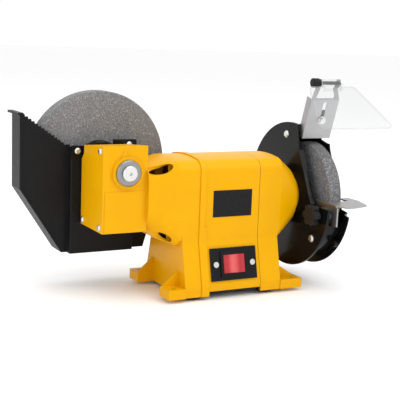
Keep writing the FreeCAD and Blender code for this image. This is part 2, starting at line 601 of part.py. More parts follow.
# ------------------------------------------------------------------ ball bearings
BALL_CIRCLE, BALL_RADIUS = 12.5, 3.0
outer_rings, inner_rings, balls = [], [], []
for name, at in (("Left", "bearing_left"), ("Right", "bearing_right")):
    where = (at, "0", "axis_height")
    groove = doc.addObject("Part::Torus", f"BallGroove{name}")
    groove.Radius1 = BALL_CIRCLE
    groove.Radius2 = BALL_RADIUS + 0.05
    put(groove, (f"{at} + bearing_wide / 2", "0", "axis_height"), AXIS_TURNS["x"])
    outer_rings.append(cut(f"OuterRing{name}", tube(f"OuterBlank{name}", "x", "0", "bearing_wide", "14.6",
                                                    "bearing_outer", where), groove))
    inner_rings.append(cut(f"InnerRing{name}",
                           tube(f"InnerBlank{name}", "x", "0", "bearing_wide", "shaft_radius",
                                                    "10.4", where), groove))
    for index in range(8):
        angle = math.radians(45 * index)
        ball = doc.addObject("Part::Sphere", f"Ball{name}{index}")
        ball.Radius = BALL_RADIUS
        balls.append(put(ball, (f"{at} + bearing_wide / 2", f"{BALL_CIRCLE * math.cos(angle):.4f}",
                                f"axis_height + {BALL_CIRCLE * math.sin(angle):.4f}")))
group("bearing_outer_rings", outer_rings)
group("bearing_inner_rings", inner_rings)
group("bearing_balls", balls)

# ------------------------------------------------------------------ rotor
ARBOR_END = "dry_left + dry_wide + 14"
node("motor_shaft", turned("MotorShaft", "x", [
    ("wet_x - worm_long / 2 - 3", "0"), ("wet_x - worm_long / 2 - 3", "shaft_radius - 1"),
    ("wet_x - worm_long / 2 - 2", "shaft_radius"), ("dry_left - 6", "shaft_radius"),
    ("dry_left - 6", "arbor_radius"),
    (ARBOR_END + " - 1", "arbor_radius"), (ARBOR_END, "arbor_radius - 1"), (ARBOR_END, "0")], MOTOR))
node("rotor_core", tube("RotorCore", "x", "0", "stator_long", "shaft_radius", "rotor_radius",
                        (STATOR_X, "0", "axis_height")))
ROTOR_RINGS = []
for name, start, end in (("Left", "-8", "-0"), ("Right", "stator_long", "stator_long + 8")):
    ROTOR_RINGS.append(tube(f"RotorRing{name}", "x", start, end, "14", "rotor_radius - 1",
                            (STATOR_X, "0", "axis_height")))
group("rotor_end_rings", ROTOR_RINGS)

# worm: a sleeve on the shaft with a right-hand thread of one start
module, teeth = size("gear_module"), int(size("gear_teeth"))
pitch = math.pi * module
worm_radius, gear_radius = size("worm_pitch_radius"), module * teeth / 2
BACKLASH = 0.45
FLANK = math.tan(math.radians(20))
worm_root, worm_tip = worm_radius - 1.2 * module, worm_radius + 0.95 * module
thread_half = pitch / 4 - BACKLASH / 2


def worm_shape():
    """Sleeve with a thread of trapezoid section whose space faces up at the wet axis."""
    turns = round(size("worm_long") / pitch) - 1
    start = size("wet_x") - turns * pitch / 2
    helix = Part.makeHelix(pitch, turns * pitch, worm_root)
    low, high = worm_root - 0.4, worm_tip
    half_low = thread_half + (worm_radius - low) * FLANK
    half_high = thread_half - (high - worm_radius) * FLANK
    outline = Part.makePolygon([V(low, 0, -half_low), V(high, 0, -half_high), V(high, 0, half_high),
                                V(low, 0, half_low), V(low, 0, -half_low)])
    sweep = Part.BRepOffsetAPI.MakePipeShell(helix)
    sweep.setFrenetMode(True)
    sweep.add(outline)
    sweep.build()
    sweep.makeSolid()
    thread = sweep.shape()
    sleeve_part = Part.makeCylinder(worm_root, size("worm_long"),
                                    V(0, 0, -(size("worm_long") - turns * pitch) / 2))
    worm = thread.fuse(sleeve_part).cut(Part.makeCylinder(size("shaft_radius"), 200, V(0, 0, -100)))
    # the helix starts on local +X; local Z becomes the shaft and local X points down at the start
    worm.rotate(V(0, 0, 0), V(0, 0, 1), 180 if turns % 2 else 0)
    worm.rotate(V(0, 0, 0), V(0, 1, 0), 90)
    worm.translate(V(start, 0, size("axis_height")))
    return worm


def gear_outline(y, turn_by):
    """Tooth outline across the wet axis at y; a tooth points straight down when turn_by is 0."""
    root, tip = gear_radius - 1.2 * module, gear_radius + 0.95 * module
    half_pitch = (pitch / 4 - BACKLASH / 2) / gear_radius
    half_root = half_pitch + (gear_radius - root) * FLANK / gear_radius
    half_tip = half_pitch - (tip - gear_radius) * FLANK / gear_radius * 1.15
    corners = []
    for index in range(teeth):
        middle = -math.pi / 2 + 2 * math.pi * index / teeth + turn_by
        for radius, angle in ((root, -half_root), (tip, -half_tip), (tip, half_tip), (root, half_root)):
            corners.append(V(radius * math.cos(middle + angle), y, radius * math.sin(middle + angle)))
    return Part.makePolygon(corners + corners[:1])


def gear_shape():
    """Worm wheel with teeth inclined by the worm's lead angle, and a hub."""
    half = size("gear_wide") / 2
    swing = half * math.tan(math.atan(pitch / (2 * math.pi * worm_radius))) / gear_radius
    rim = Part.makeLoft([gear_outline(-half, swing), gear_outline(half, -swing)], True, True)
    hub = Part.makeCylinder(14, 2 * half + 8, V(0, -half - 4, 0), V(0, 1, 0))
    bore = Part.makeCylinder(size("wet_shaft_radius"), 4 * half + 20, V(0, -2 * half - 10, 0), V(0, 1, 0))
    gear = rim.fuse(hub).cut(bore)
    gear.translate(V(size("wet_x"), 0, size(WET_Z)))
    return gear


node("drive_worm", feature("Worm", worm_shape()))
node("worm_wheel", feature("WormWheel", gear_shape()))

# ------------------------------------------------------------------ dry wheel and its clamping
DRY = ("dry_left", "0", "axis_height")
node("dry_wheel", turned("DryWheel", "x",
                         [("0", "arbor_radius"), ("0", "dry_radius - 0.8"), ("0.8", "dry_radius"),
                                            ("dry_wide - 0.8", "dry_radius"),
                                            ("dry_wide", "dry_radius - 0.8"),
                                            ("dry_wide", "arbor_radius")], DRY))
flange_in = turned("FlangeIn", "x", [("-6", "arbor_radius"), ("-6", "14"), ("-3.5", "flange_radius"),
                                      ("-0.6", "flange_radius"), ("-0.6", "arbor_radius")], DRY)
flange_out = turned("FlangeOut", "x",
                    [("dry_wide + 0.6", "arbor_radius"), ("dry_wide + 0.6", "flange_radius"),
                                        ("dry_wide + 2.5", "flange_radius"), ("dry_wide + 4.5", "14"),
                                        ("dry_wide + 4.5", "arbor_radius")], DRY)
group("dry_wheel_flanges", [flange_in, flange_out])
group("dry_wheel_blotters", [tube("BlotterIn", "x", "-0.6", "0", "arbor_radius", "flange_radius + 3", DRY),
                             tube("BlotterOut", "x", "dry_wide", "dry_wide + 0.6", "arbor_radius",
                                  "flange_radius + 3",
                                  DRY)])


def hex_nut(name, axis, across, bore, length, at):
    """A hexagon nut along X or Y."""
    radius = across / 2 / math.cos(math.pi / 6)
    plane = {"x": "YZ", "y": "XZ"}[axis]
    points = [(f"{radius * math.cos(math.radians(60 * i)):.4f}",
               f"{radius * math.sin(math.radians(60 * i)):.4f}")
              for i in range(6)]
    middle = list(at)
    middle["xy".index(axis)] += f" + ({length}) / 2"
    blank = prism(name + "Blank", plane, points, length, tuple(middle))
    return cut(name, blank, cylinder(name + "Bore", bore, f"({length}) + 2",
                                     tuple(f"{a} - 1" if l == axis else a for l, a in zip("xyz", at)),
                                     axis))


node("dry_wheel_nut", hex_nut("DryNut", "x", 19, "arbor_radius", "7",
                              ("dry_left + dry_wide + 4.5", "0", "axis_height")))

# ------------------------------------------------------------------ wet shaft and wheel
WET_BACK = "wet_front + wet_wide"
node("wet_shaft", turned("WetShaft", "y", [
    ("box_front - front_boss - ring_thick - 0.3", "0"),
    ("box_front - front_boss - ring_thick - 0.3", "wet_shaft_radius"),
    (WET_BACK + " + wet_flange + 10", "wet_shaft_radius"),
    (WET_BACK + " + wet_flange + 11", "wet_shaft_radius - 1"),
    (WET_BACK + " + wet_flange + 11", "0")], WET))
group("wet_shaft_bushes", [
    tube("BushFront", "y", "box_front - front_boss", "-gear_wide / 2 - 5", "wet_shaft_radius + running_fit",
         "wet_shaft_radius + bush_wall", WET),
    tube("BushBack", "y", "gear_wide / 2 + 13", "box_back", "wet_shaft_radius + running_fit",
         "wet_shaft_radius + bush_wall", WET)])
node("shaft_end_ring", turned("EndRing", "y", [
    ("-ring_thick", "wet_shaft_radius + 0.6"), ("-ring_thick", "ring_radius - 1.5"),
    ("-ring_thick + 1.5", "ring_radius"),
    ("0", "ring_radius"), ("0", "wet_shaft_radius + 0.6")], ("wet_x", "box_front - front_boss", WET_Z)))
cap_blank = turned("CapBlank", "y",
                   [("-cap_thick", "0"), ("-cap_thick", "cap_radius - 1"), ("-cap_thick + 1", "cap_radius"),
                                      ("0", "cap_radius"), ("0", "0")],
                   ("wet_x", "box_front - front_boss - ring_thick - 0.3", WET_Z))
HEX_SOCKET = 2.4
hex_corners = [(f"{HEX_SOCKET * math.cos(math.radians(60 * i)):.4f}",
                f"{HEX_SOCKET * math.sin(math.radians(60 * i)):.4f}")
               for i in range(6)]
hex_hole = prism("HexHole", "XZ", hex_corners, "5",
                 ("wet_x", "box_front - front_boss - ring_thick - cap_thick", WET_Z))
node("shaft_end_cap", cut("EndCap", cap_blank, hex_hole))
node("wet_wheel", turned("WetWheel", "y", [
    ("wet_front", "wet_bore"), ("wet_front", "wet_radius - 1"), ("wet_front + 1", "wet_radius"),
    (WET_BACK + " - 1", "wet_radius"), (WET_BACK, "wet_radius - 1"), (WET_BACK, "wet_bore")], WET))
wet_in = turned("WetFlangeIn", "y", [
    ("wet_front - wet_flange - 2", "wet_shaft_radius"), ("wet_front - wet_flange - 2", "16"),
    ("wet_front - wet_flange", "wet_flange_radius - 3"),
    ("wet_front - wet_flange + 2", "wet_flange_radius"),
    ("wet_front", "wet_flange_radius"), ("wet_front", "wet_bore"),
    ("wet_front + wet_wide / 2 - 1", "wet_bore"),
    ("wet_front + wet_wide / 2 - 1", "wet_shaft_radius")], WET)
wet_out = turned("WetFlangeOut", "y", [
    (WET_BACK, "wet_flange_radius"), (WET_BACK + " + wet_flange - 2", "wet_flange_radius"),
    (WET_BACK + " + wet_flange", "wet_flange_radius - 3"), (WET_BACK + " + wet_flange", "wet_shaft_radius"),
    ("wet_front + wet_wide / 2 + 1", "wet_shaft_radius"), ("wet_front + wet_wide / 2 + 1", "wet_bore"),
    (WET_BACK, "wet_bore")], WET)
group("wet_wheel_flanges", [wet_in, wet_out])
node("wet_wheel_nut", hex_nut("WetNut", "y", 24, "wet_shaft_radius", "8",
                              ("wet_x", WET_BACK + " + wet_flange", WET_Z)))

# ------------------------------------------------------------------ water tank and its hanger
tank_wall = size("tank_wall")
tank_low, tank_peak, tank_rim = size("tank_floor"), size("tank_peak"), size("tank_rim")
tank_left, tank_right = size("tank_left"), size("tank_right")
tank_front, tank_back = size("tank_front"), size("tank_back")
RIGHT_RIM, BACK_RIM = size("axis_height + 38"), size("axis_height + 7")


def polygon_prism(points, y_low, y_high):
    """Solid between two planes across Y from (x, z) corners."""
    face = Part.Face(Part.makePolygon([V(x, y_low, z) for x, z in points + points[:1]]))
    return face.extrude(V(0, y_high - y_low, 0))


def tank_outline(inset):
    """Trough around the lower half of the wet wheel, higher at its left end."""
    middle = size("wet_x")
    wire = Part.makePolygon([V(x, 0, z) for x, z in (
        (tank_left + 58, tank_low), (middle + 65.5, tank_low), (middle + 71.5, tank_low + 20),
        (tank_right, tank_low + 78), (tank_right, tank_peak), (tank_left, tank_peak),
        (tank_left, tank_low + 89), (tank_left + 58, tank_low))])
    if inset:
        wire = wire.makeOffset2D(-inset, 2, False, False, True)
    return [(vertex.X, vertex.Z) for vertex in wire.OrderedVertexes]


def stair_line():
    """Steps down from the peak at the left end to the rim."""
    count, start, end = 13, tank_left + 4, size("tank_step_end")
    run, drop = (end - start) / count, (tank_peak - tank_rim) / count
    corners = [(start, tank_peak)]
    for index in range(count):
        corners.append((start + (index + 0.45) * run, tank_peak - index * drop))
        corners.append((start + (index + 0.55) * run, tank_peak - (index + 1) * drop))
    return corners + [(end, tank_rim)]


def tank_shape():
    bulge_left, bulge_right = size("bulge_left"), size("bulge_right")
    bulge_front = size("box_back + hanger_thick + 0.2")
    trough = polygon_prism(tank_outline(0), tank_front, tank_back)
    bulge = Part.makeBox(bulge_right - bulge_left, tank_front - bulge_front + 1, tank_rim - 2 - tank_low,
                         V(bulge_left, bulge_front, tank_low))
    body = trough.fuse(bulge)
    edges = [edge for edge in body.Edges if upright(edge) and min(edge.BoundBox.XMin - tank_left,
                                                                  edge.BoundBox.YMin - bulge_front) < 1]
    body = body.makeFillet(2.0, edges)
    water = polygon_prism(tank_outline(tank_wall), tank_front + tank_wall, tank_back - tank_wall)
    well = Part.makeBox(bulge_right - bulge_left - 2 * tank_wall, tank_front - bulge_front + 2, tank_peak,
                        V(bulge_left + tank_wall, bulge_front + tank_wall, tank_low + tank_wall))
    top = tank_peak + 5
    front_line = stair_line() + [(size("wet_x") + 46, tank_rim), (size("wet_x") + 50, RIGHT_RIM),
                                 (tank_right + 1, RIGHT_RIM)]
    front_trim = polygon_prism(front_line + [(tank_right + 1, top), (tank_left + 4, top)], 0,
                               tank_front + 10)
    open_top = polygon_prism(tank_outline(tank_wall), tank_front + tank_wall,
                             tank_back - tank_wall)
    end_trim = polygon_prism([(-size("motor_half_depth") - 40, top),
                              (-size("motor_half_depth") - 40, RIGHT_RIM),
                              (tank_right + 1, RIGHT_RIM), (tank_right + 1, top)], 0, tank_back + 1)
    lid_trim = polygon_prism([(tank_left + tank_wall, tank_peak - 3), (tank_right + 1, tank_peak - 3),
                              (tank_right + 1, top), (tank_left + tank_wall, top)], tank_front + tank_wall,
                             tank_back + 1)
    back_line = [(tank_left + 6, top), (tank_left + 6, tank_peak), (tank_left + 64, BACK_RIM + 8),
                 (tank_left + 76, BACK_RIM), (tank_right + 1, BACK_RIM), (tank_right + 1, top)]
    back_trim = polygon_prism(back_line, tank_back - 10, tank_back + 1)
    hole = Part.makeCylinder(size("wet_shaft_radius") + 8, 30,
                             V(size("wet_x"), bulge_front - 1, size(WET_Z)), V(0, 1, 0))
    for tool in (water, well, front_trim, open_top, end_trim, lid_trim, back_trim, hole):
        body = body.cut(tool)
    lip = Part.makeBox(7, tank_back - tank_front + 10, 3, V(tank_left - 4, tank_front - 5, tank_peak - 1))
    body = body.fuse(lip)
    for place in TANK_SCREWS:
        x, z = size(place[0]), size(place[1])
        body = body.fuse(Part.makeCylinder(7, tank_wall + 3, V(x, bulge_front, z), V(0, 1, 0)))
    body = body.fuse(Part.makeBox(31, tank_wall + 1, 16, V(bulge_right - 31, bulge_front, tank_rim - 9)))
    for place in TANK_SCREWS:
        body = body.cut(Part.makeCylinder(2.1, 30, V(size(place[0]), bulge_front - 1, size(place[1])),
                                          V(0, 1, 0)))
    return body.removeSplitter()


def upright(edge):
    bounds = edge.BoundBox
    return edge.Curve.TypeId == "Part::GeomLine" and bounds.ZLength > 20 and bounds.XLength < 0.01


TANK_SCREWS = [("bulge_left + 8", "tank_rim - 7"), ("bulge_right - 10", "tank_rim")]
node("water_tank", feature("Tank", tank_shape()))
hanger = prism("HangerPlate", "XZ", [
    ("bulge_left", "notch_low - 9"), ("wet_x - 28", "notch_low - 9"), ("wet_x - 28", "box_low + 46"),
    ("wet_x + 26", "box_low + 46"), ("wet_x + 26", "notch_low - 9"), ("bulge_right + 1", "notch_low - 9"),
    ("bulge_right + 1", "tank_rim + 7"), ("bulge_right - 31", "tank_rim + 7"),
    ("bulge_right - 31", "tank_rim"),
    ("bulge_left", "tank_rim")],
    "hanger_thick", ("0", "box_back + hanger_thick / 2", "0"))
hanger_notch = [cylinder("HangerBore", "wet_shaft_radius + 8", "10", ("wet_x", "box_back - 2", WET_Z), "y")]
hanger_notch += [cylinder(f"HangerScrewHole{index}", "2.2", "10", (x, "box_back - 2", z), "y")
                 for index, (x, z) in enumerate(TANK_SCREWS)]
hanger_screws = [turned(f"HangerScrew{index}", "y", [
    ("box_back + hanger_thick", "0"), ("box_back + hanger_thick", "3.8"),
    ("box_back + hanger_thick - 1.9", "1.9"),
    ("box_back - 11", "1.9"), ("box_back - 11", "0")], (x, "0", z)) for index,
    (x, z) in enumerate(HANGER_BOLTS)]
hanger_sinks = [turned(f"HangerSink{index}", "y", [
    ("box_back + hanger_thick + 0.1", "0"), ("box_back + hanger_thick + 0.1", "3.95"),
    ("box_back + hanger_thick - 1.9", "1.95"),
    ("box_back - 1", "1.95"), ("box_back - 1", "0")], (x, "0", z)) for index,
    (x, z) in enumerate(HANGER_BOLTS)]
node("tank_hanger", cut("Hanger", hanger, *hanger_notch, *hanger_sinks))
group("tank_hanger_screws", hanger_screws)
group("tank_screws", [screw_y(f"TankScrew{index}", x, "box_back", z, "4.2", "3", "2", "10")
                      for index, (x, z) in enumerate(TANK_SCREWS)])

# ------------------------------------------------------------------ dry wheel guard
guard_x, guard_sheet = size("guard_x"), size("guard_sheet")
axis_height = size("axis_height")
guard_radius = size("guard_radius")


def above_shaft(points):
    """Corners (y, z) whose heights are given from the shaft."""
    return [(y, axis_height + z) for y, z in points]


PLATE_OPENING = above_shaft([(-16, 113), (-24, 66), (-54, 6), (-61, -5), (-160, -9), (-160, 113)])
BAND_OPENING = above_shaft([(-5, 123), (-5, 23), (-60, -33), (-160, -33), (-160, 123)])
COVER_OPENING = above_shaft([(-8, 113), (-8, 78), (-23, 74.5), (-29, 74), (-31, 66), (-59, 6), (-67, -14),
    (-160, -28), (-160, 113)])


def across_x(points, x_low, x_high):
    """Solid between two planes across X from (y, z) corners."""
    face = Part.Face(Part.makePolygon([V(x_low, y, z) for y, z in points + points[:1]]))
    return face.extrude(V(x_high - x_low, 0, 0))


def disc(x, radius, length, inner=0.0):
    solid = Part.makeCylinder(radius, length, V(x, 0, axis_height), V(1, 0, 0))
    if inner:
        solid = solid.cut(Part.makeCylinder(inner, length + 2, V(x - 1, 0, axis_height), V(1, 0, 0)))
    return solid


GUARD_ANGLES = (84.0, 218.0, 320.0)


def guard_screw_places(radius):
    """Centres of three screws on a circle about the shaft."""
    return [(radius * math.cos(math.radians(angle)), axis_height + radius * math.sin(math.radians(angle)))
            for angle in GUARD_ANGLES]


plate_screw_places = guard_screw_places(size("band_radius") - 4.5)
ear_places = guard_screw_places(size("band_radius") + 6.4)
EAR_RADIUS, EAR_LONG = 5.9, 6.8


def bracket_frame(x, y, z):
    """A point given along the bracket: x across, y back from its face, z up its length."""
    lean = math.radians(size("bracket_lean"))
    return V(size("bracket_x") + x, size("bracket_y") + y * math.cos(lean) - z * math.sin(lean),
             size("bracket_z") + y * math.sin(lean) + z * math.cos(lean))


BRACKET_TURN = FreeCAD.Rotation(V(1, 0, 0), size("bracket_lean"))
BOLT_UP = 28.0


def leaning_box(x_low, x_high, y_low, y_high, z_low, z_high):
    solid = Part.makeBox(x_high - x_low, y_high - y_low, z_high - z_low, V(x_low, y_low, z_low))
    solid.Placement = FreeCAD.Placement(bracket_frame(0, 0, 0), BRACKET_TURN)
    return solid


def leaning_rod(radius, length, x, y, z):
    return Part.makeCylinder(radius, length, bracket_frame(x, y, z), BRACKET_TURN.multVec(V(0, 1, 0)))


def guard_shape():
    """Inner plate with a rolled rim and a turned front edge, the wrapper band and the bracket lug."""
    plate = disc(guard_x, guard_radius, guard_sheet, 12)
    rim = disc(guard_x, guard_radius + 0.8, 4, guard_radius - 1.2)
    opening = across_x(PLATE_OPENING, guard_x - 5, guard_x + 60)
    plate = plate.fuse(rim).cut(opening)
    edge = PLATE_OPENING[1:4]
    back = [(y + 1.6, z) for y, z in reversed(edge)]
    lip = across_x(edge + back, guard_x, guard_x + 8)
    band_inner = size("band_radius")
    band = disc(guard_x + guard_sheet / 2, band_inner + 1.2,
                size("cover_x") - guard_x - guard_sheet / 2 - 0.2, band_inner)
    band = band.cut(across_x(BAND_OPENING, guard_x + guard_sheet, guard_x + 60))
    band = band.cut(across_x(PLATE_OPENING, guard_x - 5, guard_x + guard_sheet))
    sheet = size("bracket_sheet")
    lug = leaning_box(-14, 14, sheet + 0.4, sheet + 2.4, 8, 42)
    web_top = bracket_frame(0, sheet + 2, 8.5)
    web = Part.makeBox(size("cover_x") - 0.4 - size("bracket_x") + 14, -3 - web_top.y, 2,
                       V(size("bracket_x") - 14, web_top.y, axis_height + band_inner - 0.6))
    ear_x = size("cover_x") - EAR_LONG - 0.2
    ears = [Part.makeCylinder(EAR_RADIUS, EAR_LONG, V(ear_x, y, z), V(1, 0, 0)) for y, z in ear_places]
    whole = plate.fuse([lip, band, lug, web] + ears)
    whole = whole.cut(leaning_rod(2.7, 20, 0, -5, BOLT_UP))
    bolt_y, bolt_z = size("rest_bolt_y"), size("rest_bolt_z")
    whole = whole.cut(Part.makeCylinder(size("rest_bolt_radius") + 0.2, 20, V(guard_x - 5, bolt_y, bolt_z),
                                        V(1, 0, 0)))
    for y, z in plate_screw_places:
        whole = whole.cut(Part.makeCylinder(2.2, 20, V(guard_x - 5, y, z), V(1, 0, 0)))
    for y, z in ear_places:
        whole = whole.cut(Part.makeCylinder(1.6, 20, V(ear_x - 5, y, z), V(1, 0, 0)))
    for index in range(3):
        angle = math.radians(90 + 120 * index)
        whole = whole.cut(Part.makeCylinder(2.2, 20,
                                            V(guard_x - 5, 22 * math.cos(angle),
                                              axis_height + 22 * math.sin(angle)),
                                            V(1, 0, 0)))
    return whole


def cover_shape():
    """Outer cover: a flat rim against the band, a sloped wall, a flat face and a hub dome."""
    x, face = size("cover_x"), size("cover_face")
    pan, sheet = size("cover_pan"), guard_sheet
    corners = [(x, guard_radius), (x + sheet, guard_radius), (x + sheet, pan + 9), (face + sheet, pan - 1),
               (face + sheet, 24),
               (face + 15, 20), (face + 15, 0), (face + 15 - sheet, 0), (face + 15 - sheet, 20 - sheet),
               (face, 24 - sheet), (face, pan - 2), (x + 0.2, pan + 7.6), (x, pan + 7.6)]
    wire = Part.makePolygon([V(a, 0, r) for a, r in corners + corners[:1]])
    shape = Part.Face(wire).revolve(V(0, 0, 0), V(1, 0, 0), 360)
    shape.translate(V(0, 0, axis_height))
    shape = shape.cut(across_x(COVER_OPENING, x - 5, x + 60))
    for y, z in ear_places:
        shape = shape.cut(Part.makeCylinder(2.2, 30, V(x - 5, y, z), V(1, 0, 0)))
    return shape


node("guard_shell", feature("Guard", guard_shape()))
node("guard_cover", feature("GuardCover", cover_shape()))
group("guard_plate_screws",
      [screw_x(f"PlateScrew{index}", "guard_x", f"{y:.3f}", f"{z:.3f}", "5", "2.8", "2", "7")
                             for index, (y, z) in enumerate(plate_screw_places)])
group("guard_plate_nuts", [hex_nut(f"GuardNut{index}", "x", 8, "2", "3",
                                   ("guard_x + guard_sheet", f"{y:.3f}", f"{z:.3f}"))
                           for index, (y, z) in enumerate(plate_screw_places)])
group("guard_cover_screws",
      [screw_x(f"EarScrew{index}", "cover_x + guard_sheet", f"{y:.3f}", f"{z:.3f}", "3.1", "2.2",
                                     "1.5", "7", -1) for index, (y, z) in enumerate(ear_places)])
group("guard_mount_screws", [screw_x(f"GuardMount{index}", "guard_x + guard_sheet",
                                     f"22 * {math.cos(math.radians(90 + 120 * index)):.4f}",
                                     f"axis_height + 22 * {math.sin(math.radians(90 + 120 * index)):.4f}",
                                     "3.8", "2.4", "1.9", "9", -1) for index in range(3)])

# ------------------------------------------------------------------ shield bracket
SLOT_HALF = 2.9


def bracket_shape():
    """Folded sheet: a slotted face, two side flanges and two arms that carry the hinge."""
    half, sheet, length = size("bracket_wide") / 2, size("bracket_sheet"), size("bracket_long")
    left = half + size("bracket_extra")
    deep = size("bracket_deep")
    face = leaning_box(-left, half, 0, sheet, 0, length)
    slot_low, slot_high = BOLT_UP - 0.3, BOLT_UP + 24
    slot = leaning_box(-SLOT_HALF, SLOT_HALF, -2, sheet + 2, slot_low, slot_high)
    slot = slot.fuse([leaning_rod(SLOT_HALF, sheet + 4, 0, -2, slot_low),
                      leaning_rod(SLOT_HALF, sheet + 4, 0, -2, slot_high)])
    flanges = [leaning_box(-left, -left + sheet, 0, deep, 0, length),
               leaning_box(half - sheet, half, 0, deep, 0, length)]
    fold = bracket_frame(0, 0, length)
    hinge_y, hinge_z = size("hinge_y"), size("hinge_z")
    middle, ear = size("bracket_x"), BARREL_HALF + 0.4
    arm_top = hinge_z - 2
    panel = Part.Face(Part.makePolygon([V(middle + x, fold.y, z) for x, z in (
        (-left, fold.z - 0.6), (half, fold.z - 0.6), (ear + sheet, arm_top), (ear, arm_top),
        (ear - 4, arm_top - 6), (half - 7, fold.z + 2),
        (-left + 7, fold.z + 2), (-ear + 4, arm_top - 6), (-ear, arm_top), (-ear - sheet, arm_top),
        (-left, fold.z - 0.6))]))
    panel = panel.extrude(V(0, sheet, 0))
    ears = []
    for low in (-ear - sheet, ear):
        knuckle = Part.makeCylinder(5.5, sheet, V(middle + low, hinge_y, hinge_z), V(1, 0, 0))
        tab = Part.makeBox(sheet, abs(hinge_y - fold.y) + sheet, 7, V(middle + low, hinge_y, hinge_z - 7))
        ears += [knuckle, tab]
    whole = face.fuse(flanges + [panel] + ears).cut(slot)
    return whole.cut(Part.makeCylinder(2.6, 100, V(middle - 50, hinge_y, hinge_z), V(1, 0, 0)))


BARREL_HALF = 14.5
node("shield_bracket", feature("Bracket", bracket_shape()))
lug_bolt = leaning_rod(2.5, 9.4, 0, -1.6,
                       BOLT_UP).fuse([leaning_rod(6, 1.0, 0, -1.3, BOLT_UP),
                                      leaning_rod(4.3, 3.4, 0, -4.7, BOLT_UP)])
node("bracket_bolt", feature("BracketBolt", lug_bolt.removeSplitter()))
node("bracket_nut", feature("BracketNut",
                            leaning_rod(4.2, 3.2, 0, size("bracket_sheet") + 2.4, BOLT_UP).cut(
    leaning_rod(2.5, 10, 0, 0, BOLT_UP))))

# ------------------------------------------------------------------ eye shield and its hinge bolt
HINGE = ("bracket_x", "hinge_y", "hinge_z")
SHIELD_TURN = FreeCAD.Rotation(V(1, 0, 0), -size("shield_lean"))
panel = prism("ShieldPanel", "XZ", [
    ("-shield_top / 2 + 3", "-8"), ("shield_top / 2 - 3", "-8"), ("shield_top / 2", "-11"),
    ("shield_low / 2", "9 - shield_long"),
    ("shield_low / 2 - 1", "3 - shield_long"), ("shield_low / 2 - 7", "-shield_long"),
    ("7 - shield_low / 2", "-shield_long"),
    ("1 - shield_low / 2", "3 - shield_long"), ("-shield_low / 2", "9 - shield_long"),
    ("-shield_top / 2", "-11")],
    "shield_thick", HINGE, SHIELD_TURN)
neck_plate = prism("ShieldNeck", "XZ", [("-14.3", "-3"), ("14.3", "-3"), ("14.3", "-14"), ("-14.3", "-14")],
                   "shield_thick + 2", HINGE,
                   SHIELD_TURN)
barrel_tube = cylinder("ShieldBarrel", "5.5", "29", ("bracket_x - 14.5", "hinge_y", "hinge_z"))
node("eye_shield", cut("Shield", fuse("ShieldRaw", panel, neck_plate, barrel_tube), cylinder(
    "ShieldBore", "2.6", "60", ("bracket_x - 30", "hinge_y", "hinge_z"))))
node("shield_knob", turned("ShieldKnob", "x", [
    ("-17 - 12", "0"), ("-17 - 12", "5"), ("-17 - 11", "6.5"), ("-17 - 2", "6.5"), ("-17", "5"),
    ("-17", "2.5"), ("19", "2.5"),
    ("19", "0")], HINGE))
node("hinge_nut", hex_nut("HingeNut", "x", 8, "2.55", "4",
                          ("bracket_x + 14.9 + bracket_sheet + 0.2", "hinge_y", "hinge_z")))

# ------------------------------------------------------------------ tool rest
rest_x, rest_sheet = size("rest_x"), size("rest_sheet")
bolt_y, bolt_z = size("rest_bolt_y"), size("rest_bolt_z")


def rest_shape():
    """Bent plate: a slotted upright beside the wheel and a table around it."""
    top, low = size("rest_top"), size("rest_low")
    back = size("rest_end")
    upright_plate = across_x([(-104, top), (-108.5, top - 4), (-108.5, low), (back, low), (back, top)],
                             rest_x,
                             rest_x + rest_sheet)
    wheel_front = -size("dry_radius") - size("rest_gap")
    inner = size("cover_face") + guard_sheet + 1.5
    table = Part.Face(Part.makePolygon([V(x, y, top - rest_sheet) for x, y in (
        (rest_x, -104), (130, -122), (134, -125), (165, -117), (170, -113), (180, -80), (180, -60),
        (177, -57),
        (inner, -57), (inner, wheel_front), (rest_x, wheel_front),
        (rest_x, -104))])).extrude(V(0, 0, rest_sheet))
    whole = upright_plate.fuse(table)
    half = size("rest_slot_half")
    slot = Part.makeBox(20, 31, 2 * half, V(rest_x - 8, bolt_y - 14, bolt_z - half))
    ends = [Part.makeCylinder(half, 20, V(rest_x - 8, y, bolt_z), V(1, 0, 0)) for y in (bolt_y - 14,
        bolt_y + 17)]
    return whole.cut(slot.fuse(ends))


node("tool_rest", feature("ToolRest", rest_shape()))
washer_left = guard_x + guard_sheet + 0.3
washer = Part.makeCylinder(10, rest_x - 0.3 - washer_left, V(washer_left, bolt_y, bolt_z), V(1, 0, 0))
tongue = Part.makeBox(rest_sheet, 12, 2 * size("rest_slot_half") - 0.6,
                      V(rest_x - 0.4, bolt_y - 6, bolt_z - size("rest_slot_half") + 0.3))
node("rest_guide", feature("RestGuide", washer.fuse(tongue).cut(Part.makeCylinder(
    size("rest_bolt_radius") + 0.08, 60, V(rest_x - 40, bolt_y, bolt_z), V(1, 0, 0)))))
node("rest_bolt", turned("RestBolt", "x", [
    ("guard_x - 10", "0"), ("guard_x - 10", "rest_bolt_radius"),
    ("rest_x + rest_sheet + 0.4", "rest_bolt_radius"),
    ("rest_x + rest_sheet + 0.4", "8"), ("rest_x + rest_sheet + 3", "8"), ("rest_x + rest_sheet + 5", "5"),
    ("rest_x + rest_sheet + 5", "0")], ("0", "rest_bolt_y", "rest_bolt_z")))


